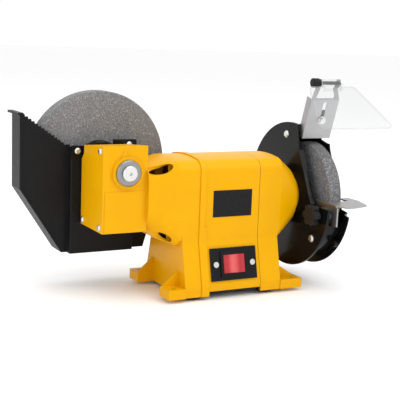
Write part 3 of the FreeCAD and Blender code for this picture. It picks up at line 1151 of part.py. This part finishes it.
def star_knob():
    """Six-lobed hand knob with a hub."""
    right = guard_x - 0.4
    body = Part.makeCylinder(11, 10, V(right - 14, bolt_y, bolt_z), V(1, 0, 0))
    for index in range(6):
        angle = math.radians(60 * index)
        lobe = Part.makeCylinder(4.5, 10,
                                 V(right - 14, bolt_y + 10.5 * math.cos(angle),
                                   bolt_z + 10.5 * math.sin(angle)), V(1, 0, 0))
        body = body.fuse(lobe)
    hub = Part.makeCylinder(8, 5, V(right - 5, bolt_y, bolt_z), V(1, 0, 0))
    return body.fuse(hub).removeSplitter().cut(Part.makeCylinder(size("rest_bolt_radius") + 0.08, 12,
                                                                 V(right - 11, bolt_y, bolt_z), V(1, 0, 0)))


node("rest_knob", feature("RestKnob", star_knob()))

# ------------------------------------------------------------------ switch, label and gland
plate_blank = panel_box("PlateBlank", ("switch_wide", "2.5", "switch_tall"), (0, -2.5, 0))
plate_window = panel_box("PlateWindow", ("rocker_wide + 7.4", "20", "rocker_tall + 5.4"), (0, -10, 0))
plate_screw_holes = [panel_rod(f"PlateScrewHole{index}", "1.9", "10", (side * PANEL_SCREW_X, -6, 0))
                     for index, side in enumerate((-1, 1))]
node("switch_plate", cut("SwitchPlate", plate_blank, plate_window, *plate_screw_holes))
frame_body = panel_box("FrameBody", ("rocker_wide + 7", "22", "rocker_tall + 5"), (0, -2.6, 0))
frame_rim = panel_box("FrameRim", ("rocker_wide + 11", "2.1", "rocker_tall + 9"), (0, -4.6, 0))
frame_well = panel_box("FrameWell", ("rocker_wide + 3", "15", "rocker_tall + 1"), (0, -5, 0))
frame_pins = []
for name, low in (("Low", "-rocker_tall / 2 - 1.2"), ("High", "rocker_tall / 2 - 1.0")):
    pin = doc.addObject("Part::Cylinder", f"PivotPin{name}")
    pin.Radius = 1.4
    pin.Height = 2.2
    frame_pins.append(on_panel(pin, 0, 1.5, size(low)))
node("switch_body", fuse("SwitchBody",
                         cut("FrameShell", fuse("FrameRaw", frame_body, frame_rim), frame_well),
                         *frame_pins))
ROCK = 9.0
rocker_half = size("rocker_wide") / 2
rocker_blank = prism("RockerBlank", "XY", [
    (f"{-rocker_half}", "-5.5"), ("0", "-3"), (f"{rocker_half}", "-5.5"), (f"{rocker_half - 1.5}", "1"),
    ("4", "4"), ("-4", "4"),
    (f"{1.5 - rocker_half}", "1")], "rocker_tall")
for letter in "xyz":
    rocker_blank.setExpression(f"Placement.Base.{letter}", None)
rocker_blank.Placement = PANEL.multiply(FreeCAD.Placement(V(0, 1.5, 0),
                                                          FreeCAD.Rotation(V(0, 0, 1), -ROCK)).multiply(
    FreeCAD.Placement(V(0, -1.5, 0), FreeCAD.Rotation())))
rocker_bore = doc.addObject("Part::Cylinder", "RockerBore")
rocker_bore.Radius = 1.5
rocker_bore.Height = 60
rocker_bore.Placement = PANEL.multiply(FreeCAD.Placement(V(0, 1.5, -30), FreeCAD.Rotation()))
node("rocker", cut("Rocker", rocker_blank, rocker_bore))


def panel_screw(name, side):
    shank = panel_rod(name + "Shank", "1.7", "9", (side * PANEL_SCREW_X, -3, 0))
    head = panel_rod(name + "Head", "3.9", "2", (side * PANEL_SCREW_X, -4.5, 0))
    return fuse(name, shank, head)


group("switch_plate_screws", [panel_screw("PanelScrewLeft", -1), panel_screw("PanelScrewRight", 1)])
node("label_plate", box("Label", ("59", "0.6", "36"),
                        ("seam_left + 20", "-motor_half_depth - 0.6", "axis_height - 18")))
gland_flange = panel_rod("GlandFlange", "11", "3", (0, -3, 0), REAR_PANEL)
gland_neck = panel_rod("GlandNeck", "7.8", "12", (0, -1, 0), REAR_PANEL)
gland_tail = doc.addObject("Part::Cone", "GlandTail")
gland_tail.Radius1 = 8
gland_tail.Radius2 = 5.5
gland_tail.Height = 16
gland_tail.Placement = REAR_PANEL.multiply(FreeCAD.Placement(V(0, -2, 0), FreeCAD.Rotation(V(1, 0, 0), 90)))
gland_bore = panel_rod("GlandBore", "3.8", "60", (0, -30, 0), REAR_PANEL)
node("cable_gland", cut("Gland", fuse("GlandRaw", gland_flange, gland_neck, gland_tail), gland_bore))

# ------------------------------------------------------------------ check and write
doc.recompute()
for item in doc.Objects:
    if "Invalid" in item.State or "Error" in item.State:
        raise RuntimeError(f"{item.Name} failed: {item.State}")
for label, item in NODES.items():
    if item.Shape.isNull() or not item.Shape.isValid():
        raise RuntimeError(f"{label} has no valid shape")
os.makedirs("parts", exist_ok=True)
to_lugs = V(0, 0, -size("foot_under"))
for label, item in NODES.items():
    shape = item.Shape.copy()
    shape.translate(to_lugs)
    shape.exportStep(f"parts/{label}.step")
print(len(NODES), "sub-parts written")
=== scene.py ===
import math

import bpy
from mathutils import Matrix, Vector


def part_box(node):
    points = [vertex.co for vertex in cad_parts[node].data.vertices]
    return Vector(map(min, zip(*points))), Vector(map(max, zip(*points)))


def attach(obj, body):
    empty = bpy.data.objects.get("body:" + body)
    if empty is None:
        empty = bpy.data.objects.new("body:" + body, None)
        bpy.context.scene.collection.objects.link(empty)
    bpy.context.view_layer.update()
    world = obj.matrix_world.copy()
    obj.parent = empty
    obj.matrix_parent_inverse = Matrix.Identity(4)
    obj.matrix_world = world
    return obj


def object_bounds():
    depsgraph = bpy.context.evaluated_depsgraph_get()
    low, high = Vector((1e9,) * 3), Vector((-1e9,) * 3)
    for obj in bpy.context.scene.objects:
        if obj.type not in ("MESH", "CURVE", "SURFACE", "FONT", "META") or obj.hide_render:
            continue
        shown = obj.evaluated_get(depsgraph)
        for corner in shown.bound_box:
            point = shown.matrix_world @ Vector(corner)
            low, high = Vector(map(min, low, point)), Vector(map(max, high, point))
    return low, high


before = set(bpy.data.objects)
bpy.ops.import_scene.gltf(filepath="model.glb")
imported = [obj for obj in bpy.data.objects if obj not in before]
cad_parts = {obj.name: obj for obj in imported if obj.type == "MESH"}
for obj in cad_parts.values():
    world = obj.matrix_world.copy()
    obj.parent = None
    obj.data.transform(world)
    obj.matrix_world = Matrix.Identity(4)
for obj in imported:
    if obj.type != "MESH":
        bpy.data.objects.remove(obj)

cad_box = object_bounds()
bpy.ops.object.select_all(action="DESELECT")
MM = 0.001
PER_METRE = 1000.0
COAT_ROUGHNESS = 0.06
SMOOTH_ANGLE = 0.6
SAME_SCREW = 0.009

# ---------------------------------------------------------------- yellow castings
# Two end castings, the centre housing and the gearbox cover are die cast and
# enamelled in a glossy warm yellow.  Its edges carry a painted highlight, a lighter
# yellow where light would catch them; the enamel has a faint orange peel, and a dark
# hairline shows where the right casting meets the housing.


class Wave:
    """A value or colour that varies over a surface, usable in Python sums."""

    def __init__(self, finish, socket):
        self.finish = finish
        self.socket = socket

    def worked(self, operation, first, second=None, third=None):
        return self.finish.add("ShaderNodeMath", {"operation": operation}, {0: first, 1: second, 2: third})

    def __add__(self, other):
        return self.worked("ADD", self, other)

    def __radd__(self, other):
        return self.worked("ADD", other, self)

    def __sub__(self, other):
        return self.worked("SUBTRACT", self, other)

    def __rsub__(self, other):
        return self.worked("SUBTRACT", other, self)

    def __mul__(self, other):
        return self.worked("MULTIPLY", self, other)

    def __rmul__(self, other):
        return self.worked("MULTIPLY", other, self)

    def __abs__(self):
        return self.worked("ABSOLUTE", self)

    def eased(self, low, high):
        """0 below low and 1 above high, with a smooth rise between."""
        return self.finish.add("ShaderNodeMapRange", {"interpolation_type": "SMOOTHSTEP"},
                               {0: self, 1: low, 2: high, 3: 0.0, 4: 1.0})


class Finish:
    """One material: a Principled shader and the nodes that feed it."""

    def __init__(self, name, colour, roughness, metallic=0.0, coat=0.0, gloss=0.5):
        self.material = bpy.data.materials.new(name)
        self.material.use_nodes = True
        self.tree = self.material.node_tree
        self.shader = self.tree.nodes["Principled BSDF"]
        self.feed("Base Color", (*colour, 1.0))
        self.feed("Roughness", roughness)
        self.feed("Metallic", metallic)
        self.feed("Coat Weight", coat)
        self.shader.inputs["Coat Roughness"].default_value = COAT_ROUGHNESS
        self.shader.inputs["Specular IOR Level"].default_value = gloss
        self.where = self.add("ShaderNodeTexCoord", {}, {}, "Object")

    def add(self, kind, settings, inputs, output=0):
        node = self.tree.nodes.new(kind)
        for name, value in settings.items():
            setattr(node, name, value)
        for key, value in inputs.items():
            self.join(node.inputs[key], value)
        return Wave(self, node.outputs[output])

    def join(self, socket, value):
        if isinstance(value, Wave):
            self.tree.links.new(value.socket, socket)
        elif value is not None:
            socket.default_value = value

    def feed(self, name, value):
        self.join(self.shader.inputs[name], value)

    def axis(self, letter):
        """Distance along X, Y or Z in millimetres."""
        return self.add("ShaderNodeSeparateXYZ", {}, {0: self.where}, letter) * PER_METRE

    def noise(self, grain, detail=3.0, rough=0.55):
        """Cloudy noise from 0 to 1 with patches about grain millimetres wide."""
        return self.add("ShaderNodeTexNoise", {}, {
            "Vector": self.where, "Scale": 1.0 / (grain * MM), "Detail": detail, "Roughness": rough})

    def grit(self, grain):
        """Random cells about grain millimetres wide."""
        return self.add("ShaderNodeTexVoronoi", {}, {
            "Vector": self.where, "Scale": 1.0 / (grain * MM)}, "Color")

    def streaks(self, grain, stretch):
        """Noise drawn out along one axis, as left by brushing or turning."""
        drawn = self.add("ShaderNodeMapping", {}, {"Vector": self.where, "Scale": stretch})
        return self.add("ShaderNodeTexNoise", {}, {
            "Vector": drawn, "Scale": 1.0 / (grain * MM), "Detail": 2.0})

    def mixed(self, amount, first, second):
        """A colour between two colours."""
        return self.add("ShaderNodeMix", {"data_type": "RGBA"}, {
            0: amount, 6: self.colour(first), 7: self.colour(second)}, 2)

    def colour(self, value):
        return value if isinstance(value, Wave) else (*value, 1.0)

    def soft_edge(self, radius):
        """The surface's direction, rounded over each edge by radius millimetres."""
        return self.add("ShaderNodeBevel", {"samples": 6}, {"Radius": radius * MM})

    def edge_mask(self, radius):
        """1 on edges, 0 on flat ground."""
        rounded = self.soft_edge(radius)
        ground = self.add("ShaderNodeNewGeometry", {}, {}, "Normal")
        alike = self.add("ShaderNodeVectorMath", {"operation": "DOT_PRODUCT"},
                         {0: rounded, 1: ground}, "Value")
        return (1.0 - alike).eased(0.01, 0.25)

    def relief(self, height, depth, edge=0.0):
        """Bump of a height pattern, depth in millimetres, over edges rounded by edge."""
        base = self.soft_edge(edge) if edge else None
        self.feed("Normal", self.add("ShaderNodeBump", {}, {
            "Strength": 1.0, "Distance": depth * MM, "Height": height, "Normal": base}))


ENAMEL = (0.77, 0.385, 0.0)
ENAMEL_DEEP = (0.70, 0.335, 0.0)
ENAMEL_EDGE_HIGHLIGHT = (0.95, 0.56, 0.05)


def enamel(name, seams=()):
    """Yellow enamel; seams are (x, half width) of the hairlines across the body."""
    finish = Finish(name, ENAMEL, 0.34, coat=0.06, gloss=0.08)
    tone = finish.mixed(finish.noise(42.0), ENAMEL_DEEP, ENAMEL)
    # Painted highlight: edges are mixed towards a lighter yellow, as where light catches them.
    tone = finish.mixed(finish.edge_mask(0.9) * 0.55, tone, ENAMEL_EDGE_HIGHLIGHT)
    height = finish.noise(1.6, 2.0)
    for x, half in seams:
        line = 1.0 - abs(finish.axis("X") - x).eased(half * 0.4, half)
        tone = finish.mixed(line * 0.8, tone, (0.20, 0.08, 0.0))
        height = height - line * 6.0
    finish.feed("Base Color", tone)
    finish.feed("Roughness", 0.30 + 0.10 * finish.noise(9.0))
    finish.relief(height, 0.035, 0.9)
    return finish.material


def coat(node, material):
    """Give a CAD node its finish."""
    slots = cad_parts[node].data.materials
    slots.clear()
    slots.append(material)


SEAM_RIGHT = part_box("motor_housing")[1].x / MM
yellow = enamel("yellow_enamel", ((SEAM_RIGHT, 0.5),))
for casting in ("left_end_casting", "right_end_casting", "motor_housing", "gearbox_cover"):
    coat(casting, yellow)

# ---------------------------------------------------------------- black pressed sheet
# The wheel guard, its cover, the base plate, the tank's hanger and the wheel
# flanges are pressed steel with a thick gloss black enamel that mirrors its
# surroundings softly.  Its edges carry a painted highlight in a lighter grey.

BLACK = (0.005, 0.005, 0.005)


def black_enamel():
    finish = Finish("black_gloss_enamel", BLACK, 0.16, coat=0.08, gloss=0.10)
    # Painted highlight: edges are mixed towards a lighter grey.
    finish.feed("Base Color", finish.mixed(finish.edge_mask(0.5) * 0.7, BLACK, (0.045, 0.045, 0.048)))
    finish.feed("Roughness", 0.12 + 0.14 * finish.noise(14.0))
    finish.relief(finish.noise(2.2, 1.5), 0.03, 0.5)
    return finish.material


gloss_black = black_enamel()
for sheet in ("guard_shell", "guard_cover", "base_plate", "tank_hanger", "wet_wheel_flanges",
              "dry_wheel_flanges"):
    coat(sheet, gloss_black)

# ---------------------------------------------------------------- black mouldings
# The water tank, the hand knobs and the cord gland are moulded in black
# polypropylene with a fine grain; walls show slow ripples, and the edges carry a
# painted highlight in a paler grey.


def grained_plastic(name, colour, roughness, edge):
    finish = Finish(name, colour, roughness, gloss=0.12)
    # Painted highlight: a paler grey that the edges are mixed towards, as where light catches them.
    painted_edge_highlight = tuple(3.0 * part + 0.01 for part in colour)
    tone = finish.mixed(finish.noise(30.0), colour, tuple(1.5 * part for part in colour))
    finish.feed("Base Color", finish.mixed(finish.edge_mask(edge) * 0.6, tone, painted_edge_highlight))
    finish.feed("Roughness", roughness - 0.08 + 0.16 * finish.noise(6.0))
    finish.relief(finish.noise(0.5, 1.0) + finish.noise(25.0, 1.0) * 4.0, 0.03, edge)
    return finish.material


tank_black = grained_plastic("tank_polypropylene", (0.0065, 0.0065, 0.007), 0.42, 0.9)
knob_black = grained_plastic("knob_plastic", (0.010, 0.010, 0.011), 0.30, 0.8)
coat("water_tank", tank_black)
for moulding in ("rest_knob", "shield_knob", "cable_gland"):
    coat(moulding, knob_black)

# Moulded beads: one raised line follows the stepped rim of the tank, one its
# slanted end, and a third joins their tops.

tank_low, tank_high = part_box("water_tank")


def choose(piece):
    """Select one object alone."""
    bpy.ops.object.select_all(action="DESELECT")
    piece.select_set(True)
    bpy.context.view_layer.objects.active = piece


def bevelled(piece, width, segments=2):
    """Round the sharp edges of a piece."""
    choose(piece)
    bpy.ops.object.modifier_add(type="BEVEL")
    bevel = piece.modifiers[-1]
    bevel.width = width
    bevel.segments = segments
    bevel.limit_method = "ANGLE"
    bevel.angle_limit = SMOOTH_ANGLE
    bpy.ops.object.modifier_apply(modifier=bevel.name)
    return piece


def settled(piece, material, body):
    """Put a finished piece's origin at the frame's, and give it its finish and body."""
    choose(piece)
    bpy.ops.object.transform_apply(location=True, rotation=True, scale=True)
    bpy.ops.object.shade_smooth_by_angle(angle=SMOOTH_ANGLE)
    piece.data.materials.clear()
    piece.data.materials.append(material)
    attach(piece, body)
    return piece


def joined(pieces, name):
    """One object of several."""
    bpy.ops.object.select_all(action="DESELECT")
    for piece in pieces:
        piece.select_set(True)
    bpy.context.view_layer.objects.active = pieces[0]
    if len(pieces) > 1:
        bpy.ops.object.join()
    pieces[0].name = name
    return pieces[0]


def bead(start, end, y, wide, proud):
    """A raised half-round line on a wall that faces the front, from start to end (x, z)."""
    run = Vector((end[0] - start[0], 0.0, end[1] - start[1]))
    middle = Vector(((start[0] + end[0]) / 2, y, (start[1] + end[1]) / 2))
    bpy.ops.mesh.primitive_cylinder_add(vertices=12, radius=0.5, depth=run.length, location=middle,
                                        rotation=(0, math.atan2(run.x, run.z), 0))
    piece = bpy.context.object
    piece.scale = (wide, proud * 2.0, 1.0)
    return bevelled(piece, 0.3 * MM)


FRONT_WALL = 0.060
STEP_TOP = Vector((tank_low.x + 8 * MM, 0, tank_high.z - 10 * MM))
STEP_END = Vector((tank_low.x + 62 * MM, 0, tank_high.z - 52 * MM))
beads = [bead((STEP_TOP.x, STEP_TOP.z), (STEP_END.x, STEP_END.z), FRONT_WALL, 1.6 * MM, 0.5 * MM)]
SLANT_TOP = (tank_low.x + 8 * MM, tank_low.z + 88 * MM)
SLANT_END = (tank_low.x + 62 * MM, tank_low.z + 6 * MM)
beads.append(bead(SLANT_TOP, SLANT_END, FRONT_WALL, 1.4 * MM, 0.4 * MM))
beads.append(bead((SLANT_TOP[0], SLANT_TOP[1]), (STEP_TOP.x, STEP_TOP.z), FRONT_WALL, 1.2 * MM, 0.4 * MM))
settled(joined(beads, "tank_beads"), tank_black, "frame")

# ---------------------------------------------------------------- wheels
# The wet wheel is a fine aluminium oxide stone, the dry one a coarser grey
# stone.  Both show pale and dark grains, and a rough bond; a few grains sparkle, with
# a smoother surface and a painted glint of brighter grey in their colour.


def stone(name, dark, pale, grain, pit):
    finish = Finish(name, pale, 0.9)
    grains = finish.add("ShaderNodeSeparateColor", {}, {0: finish.grit(grain)}, "Red")
    patches = finish.noise(18.0)
    speckle = grains * 0.75 + patches * 0.25
    tone = finish.mixed(speckle.eased(0.15, 0.95), dark, pale)
    sparkle = grains.eased(0.93, 0.99)
    # Painted glint: sparkling grains are mixed towards a brighter grey, on top of their lower roughness.
    painted_glint = tuple(min(1.0, 2.2 * part) for part in pale)
    finish.feed("Base Color", finish.mixed(sparkle * 0.5, tone, painted_glint))
    finish.feed("Roughness", 0.95 - 0.35 * sparkle)
    finish.relief(grains + finish.noise(grain * 0.8, 2.0), pit, 0.6)
    return finish.material


coat("wet_wheel", stone("wet_stone", (0.13, 0.13, 0.132), (0.26, 0.26, 0.262), 0.9, 0.10))
coat("dry_wheel", stone("dry_stone", (0.10, 0.10, 0.105), (0.23, 0.23, 0.235), 1.3, 0.16))

# ---------------------------------------------------------------- bright metal
# Screws, shafts and nuts are turned steel with a bright zinc plate.  The eye
# shield's bracket and the tool rest are zinc plated sheet with a satin,
# slightly cloudy surface.


def metal(name, colour, roughness, grain=(1.0, 1.0, 1.0), cloud=0.10, edge=0.25):
    finish = Finish(name, colour, roughness, metallic=1.0)
    lines = finish.streaks(1.2, grain)
    tone = finish.mixed(finish.noise(11.0), tuple(0.86 * part for part in colour), colour)
    # Painted highlight: a lighter tone that the edges are mixed towards, as where light catches them.
    painted_edge_highlight = tuple(min(1.0, 1.3 * part) for part in colour)
    finish.feed("Base Color", finish.mixed(finish.edge_mask(edge) * 0.4, tone, painted_edge_highlight))
    finish.feed("Roughness", roughness - cloud / 2 + cloud * finish.noise(4.0) + 0.06 * lines)
    finish.relief(lines, 0.012, edge)
    return finish.material


zinc = metal("zinc_plate", (0.72, 0.72, 0.71), 0.26)
zinc_sheet = metal("zinc_sheet", (0.42, 0.42, 0.425), 0.38, (1.0, 1.0, 0.08), 0.16, 0.4)
turned = metal("turned_steel", (0.58, 0.58, 0.59), 0.24, (6.0, 0.2, 0.2))
for part in ("gearbox_cover_screws", "tank_hanger_screws", "tank_screws", "tie_bolts", "foot_screws",
             "guard_plate_screws", "guard_plate_nuts", "guard_cover_screws", "guard_mount_screws",
             "bracket_bolt", "bracket_nut", "hinge_nut", "switch_plate_screws", "rest_bolt"):
    coat(part, zinc)
for part in ("shield_bracket", "tool_rest"):
    coat(part, zinc_sheet)
for part in ("motor_shaft", "wet_shaft", "drive_worm", "wet_wheel_nut", "dry_wheel_nut", "capacitor_clip"):
    coat(part, turned)
coat("rest_guide", metal("guide_steel", (0.16, 0.16, 0.165), 0.34))
coat("shaft_end_cap", zinc)
coat("shaft_end_ring", metal("ring_steel", (0.30, 0.30, 0.31), 0.30))
ground = metal("ground_steel", (0.78, 0.78, 0.79), 0.10)
for part in ("bearing_outer_rings", "bearing_inner_rings", "bearing_balls"):
    coat(part, ground)

# ---------------------------------------------------------------- motor inside
# Stator and rotor are stacks of thin electrical sheet, with varnished copper
# coils, cast aluminium rings and a bronze worm wheel with its bushes.


def stack(name):
    finish = Finish(name, (0.16, 0.16, 0.17), 0.45, metallic=0.8)
    layers = finish.add("ShaderNodeMath", {"operation": "PINGPONG"}, {0: finish.axis("X"), 1: 0.5})
    finish.feed("Base Color", finish.mixed(layers * 2.0, (0.08, 0.08, 0.09), (0.24, 0.24, 0.25)))
    finish.feed("Roughness", 0.4 + 0.2 * finish.noise(3.0))
    finish.relief(layers, 0.15)
    return finish.material


def windings():
    finish = Finish("copper_coils", (0.45, 0.16, 0.05), 0.3, metallic=0.7, coat=0.4)
    strands = finish.streaks(2.0, (6.0, 0.6, 0.6))
    tone = finish.mixed(strands.eased(0.35, 0.65), (0.24, 0.07, 0.02), (0.6, 0.25, 0.08))
    finish.feed("Base Color", tone)
    finish.feed("Roughness", 0.24 + 0.2 * finish.noise(3.0))
    finish.relief(strands, 0.5)
    return finish.material


laminations = stack("electrical_sheet")
coat("stator_core", laminations)
coat("rotor_core", laminations)
coat("stator_windings", windings())
cast_aluminium = metal("cast_aluminium", (0.68, 0.68, 0.69), 0.42)
coat("rotor_end_rings", cast_aluminium)
coat("capacitor", cast_aluminium)
bronze = metal("bearing_bronze", (0.55, 0.34, 0.12), 0.32)
coat("worm_wheel", bronze)
coat("wet_shaft_bushes", bronze)


def paper():
    finish = Finish("blotter_paper", (0.2, 0.3, 0.5), 0.85)
    fibres = finish.noise(0.8, 4.0)
    finish.feed("Base Color", finish.mixed(fibres, (0.14, 0.22, 0.40), (0.26, 0.36, 0.55)))
    finish.relief(fibres, 0.06)
    return finish.material


coat("dry_wheel_blotters", paper())

# ---------------------------------------------------------------- rubber feet
# Four moulded rubber feet, dull black with a dusty bloom.


def rubber():
    finish = Finish("foot_rubber", (0.015, 0.015, 0.015), 0.8)
    bloom = finish.noise(5.0)
    finish.feed("Base Color", finish.mixed(bloom, (0.010, 0.010, 0.010), (0.03, 0.03, 0.03)))
    finish.feed("Roughness", 0.7 + 0.2 * bloom)
    finish.relief(finish.noise(0.8), 0.06, 0.5)
    return finish.material


coat("rubber_feet", rubber())

# ---------------------------------------------------------------- switch and label
# A glossy black plate holds a framed rocker in translucent red, painted lighter
# down its middle as a highlight.  The label is a plain black printed plate with
# nothing on it, its edges painted lighter as a highlight.

switch_black = grained_plastic("switch_plastic", (0.008, 0.008, 0.008), 0.22, 0.4)
coat("switch_plate", switch_black)
coat("switch_body", switch_black)


def red_rocker():
    finish = Finish("rocker_red", (0.50, 0.02, 0.035), 0.12, coat=0.4, gloss=0.3)
    centre = (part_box("rocker")[0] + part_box("rocker")[1]) / 2 / MM
    across = abs(finish.axis("X") - centre.x)
    # Painted highlight: a lighter red band down the rocker's middle, where its crease catches light.
    centre_highlight = 1.0 - across.eased(1.0, 9.0)
    tone = finish.mixed(centre_highlight * 0.55, (0.42, 0.012, 0.02), (0.85, 0.16, 0.15))
    finish.feed("Base Color", tone)
    finish.feed("Roughness", 0.10 + 0.08 * finish.noise(4.0))
    ribs = finish.add("ShaderNodeMath", {"operation": "PINGPONG"}, {0: finish.axis("Z"), 1: 2.1})
    finish.relief(ribs, 0.12, 0.6)
    return finish.material


coat("rocker", red_rocker())


def label():
    finish = Finish("label_print", (0.008, 0.008, 0.008), 0.3, coat=0.08, gloss=0.1)
    # Painted highlight: edges are mixed towards a lighter grey.
    tone = finish.mixed(finish.edge_mask(0.3), (0.008, 0.008, 0.008), (0.06, 0.06, 0.06))
    finish.feed("Base Color", tone)
    finish.feed("Roughness", 0.22 + 0.12 * finish.noise(5.0))
    finish.relief(finish.noise(0.6), 0.01, 0.2)
    return finish.material


coat("label_plate", label())

# ---------------------------------------------------------------- eye shield
# Clear polycarbonate with polished edges, which look grey where light is
# caught in the thickness.


def clear_sheet():
    finish = Finish("clear_polycarbonate", (0.45, 0.46, 0.47), 0.05, coat=0.2, gloss=0.3)
    edge = finish.edge_mask(1.1)
    finish.feed("Base Color", finish.mixed(edge, (0.45, 0.46, 0.47), (0.30, 0.31, 0.32)))
    finish.feed("Alpha", 0.15 + 0.5 * edge)
    finish.feed("Roughness", 0.03 + 0.05 * finish.noise(20.0))
    finish.relief(finish.noise(60.0, 1.0), 0.05, 0.8)
    return finish.material


coat("eye_shield", clear_sheet())

# ---------------------------------------------------------------- screw heads
# Pan heads with a cross recess on the gearbox cover, the tank and the guard,
# each driven home on its screw.

SIDEWAYS = ("gearbox_cover_screws", "guard_plate_screws", "guard_cover_screws")
TO_RIGHT = Matrix.Rotation(math.pi / 2, 4, "Y")
TO_LEFT = Matrix.Rotation(-math.pi / 2, 4, "Y")
TO_FRONT = Matrix.Rotation(math.pi / 2, 4, "X")


def pan_head(radius, height):
    """A domed head with a cross recess, on its own Z axis."""
    bpy.ops.mesh.primitive_cylinder_add(vertices=32, radius=radius, depth=height,
                                        location=(0, 0, height / 2))
    head = bpy.context.object
    choose(head)
    bpy.ops.object.mode_set(mode="EDIT")
    bpy.ops.mesh.select_mode(type="FACE")
    bpy.ops.mesh.select_all(action="DESELECT")
    bpy.ops.object.mode_set(mode="OBJECT")
    for face in head.data.polygons:
        face.select = face.normal.z > 0.9
    bpy.ops.object.mode_set(mode="EDIT")
    for inset, rise in ((0.10, 0.16), (0.22, 0.12), (0.30, 0.05)):
        bpy.ops.mesh.inset(thickness=radius * inset, depth=0)
        bpy.ops.transform.translate(value=(0, 0, height * rise))
    bpy.ops.object.mode_set(mode="OBJECT")
    for turn in (0.0, math.pi / 2):
        bpy.ops.mesh.primitive_cube_add(size=1, location=(0, 0, height * 1.15), rotation=(0, 0, turn))
        blade = bpy.context.object
        blade.scale = (radius * 1.15, radius * 0.24, height * 0.9)
        choose(head)
        bpy.ops.object.modifier_add(type="BOOLEAN")
        recess = head.modifiers[-1]
        recess.object = blade
        recess.operation = "DIFFERENCE"
        bpy.ops.object.modifier_apply(modifier=recess.name)
        bpy.data.objects.remove(blade)
    return bevelled(head, radius * 0.03, 1)


def islands(node):
    """Each screw's lowest and highest corners in a CAD group, told apart by nearness."""
    points = [vertex.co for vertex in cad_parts[node].data.vertices]
    groups = []
    for point in points:
        for group in groups:
            apart = group[0] - point
            if (apart.yz if node in SIDEWAYS else apart.xz).length < SAME_SCREW:
                group.append(point)
                break
        else:
            groups.append([point])
    boxes = []
    for group in groups:
        low = Vector([min(point[i] for point in group) for i in range(3)])
        high = Vector([max(point[i] for point in group) for i in range(3)])
        boxes.append((low, high))
    return boxes


def heads_on(node, radius, height, facing, reach):
    """A pan head over each screw of a group; reach gives the seat from a screw's box."""
    heads = []
    for index, (low, high) in enumerate(islands(node)):
        head = pan_head(radius, height)
        seat = reach(low, high)
        head.matrix_world = Matrix.Translation(seat) @ facing @ Matrix.Rotation(0.5 + index, 4, "Z")
        heads.append(head)
    return settled(joined(heads, node + "_heads"), zinc, "frame")


heads_on("gearbox_cover_screws", 4.15 * MM, 1.9 * MM, TO_LEFT,
         lambda low, high: Vector((low.x + 2.6 * MM, (low.y + high.y) / 2, (low.z + high.z) / 2)))
heads_on("guard_plate_screws", 5.2 * MM, 2.2 * MM, TO_LEFT,
         lambda low, high: Vector((low.x + 2.8 * MM, (low.y + high.y) / 2, (low.z + high.z) / 2)))
heads_on("guard_cover_screws", 3.3 * MM, 1.7 * MM, TO_RIGHT,
         lambda low, high: Vector((high.x - 2.2 * MM, (low.y + high.y) / 2, (low.z + high.z) / 2)))
heads_on("tank_screws", 4.35 * MM, 2.2 * MM, TO_FRONT,
         lambda low, high: Vector(((low.x + high.x) / 2, low.y + 3.0 * MM, (low.z + high.z) / 2)))

# ---------------------------------------------------------------- studio
# A pale floor that fades into a white surround, one large soft light high on
# the right of the front, one overhead, and a weaker fill from the left.


def area_light(name, place, aim, wide, power):
    bpy.ops.object.light_add(type="AREA", location=place)
    lamp = bpy.context.object
    lamp.name = name
    lamp.data.shape = "SQUARE"
    lamp.data.size = wide
    lamp.data.energy = power
    lamp.rotation_euler = (Vector(aim) - Vector(place)).to_track_quat("-Z", "Y").to_euler()


bpy.ops.mesh.primitive_plane_add(size=30, location=(0, 0, cad_box[0].z - 0.2 * MM))
floor = bpy.context.object
floor.name = "studio_floor"
pale = Finish("studio_white", (0.95, 0.95, 0.95), 0.9)
floor.data.materials.append(pale.material)
middle = (cad_box[0] + cad_box[1]) / 2
area_light("key", (0.9, -1.6, 1.9), middle, 1.4, 17.0)
area_light("top", (-0.1, 0.1, 2.2), middle, 2.2, 17.0)
area_light("left_fill", (-2.2, -0.6, 1.0), middle, 1.6, 6.0)

world = bpy.data.worlds.new("studio_surround")
world.use_nodes = True
world.node_tree.nodes["Background"].inputs["Color"].default_value = (1.0, 1.0, 1.0, 1.0)
world.node_tree.nodes["Background"].inputs["Strength"].default_value = 1.02
bpy.context.scene.world = world
bpy.context.scene.view_settings.view_transform = "Standard"

# Camera: seen from the front left, a little from above.
AZIMUTH, ELEVATION, ROLL = (math.radians(angle) for angle in (28.1, 10.0, 2.2))
DISTANCE, LENS = 1.314, 86.0
AIM = Vector((-0.0286, 0.0, cad_box[0].z + 0.124))
ahead = Vector((math.sin(AZIMUTH) * math.cos(ELEVATION),
                math.cos(AZIMUTH) * math.cos(ELEVATION), -math.sin(ELEVATION)))
right = Vector((math.cos(AZIMUTH), -math.sin(AZIMUTH), 0.0))
up = right.cross(ahead)
right, up = (right * math.cos(ROLL) + up * math.sin(ROLL), up * math.cos(ROLL) - right * math.sin(ROLL))
bpy.ops.object.camera_add(location=AIM - ahead * DISTANCE)
camera = bpy.context.object
turned_to = Matrix((right, up, -ahead)).transposed().to_4x4()
camera.matrix_world = Matrix.Translation(AIM - ahead * DISTANCE) @ turned_to
camera.data.sensor_width = 36.0
camera.data.lens = LENS
camera.data.clip_end = 50.0
bpy.context.scene.camera = camera
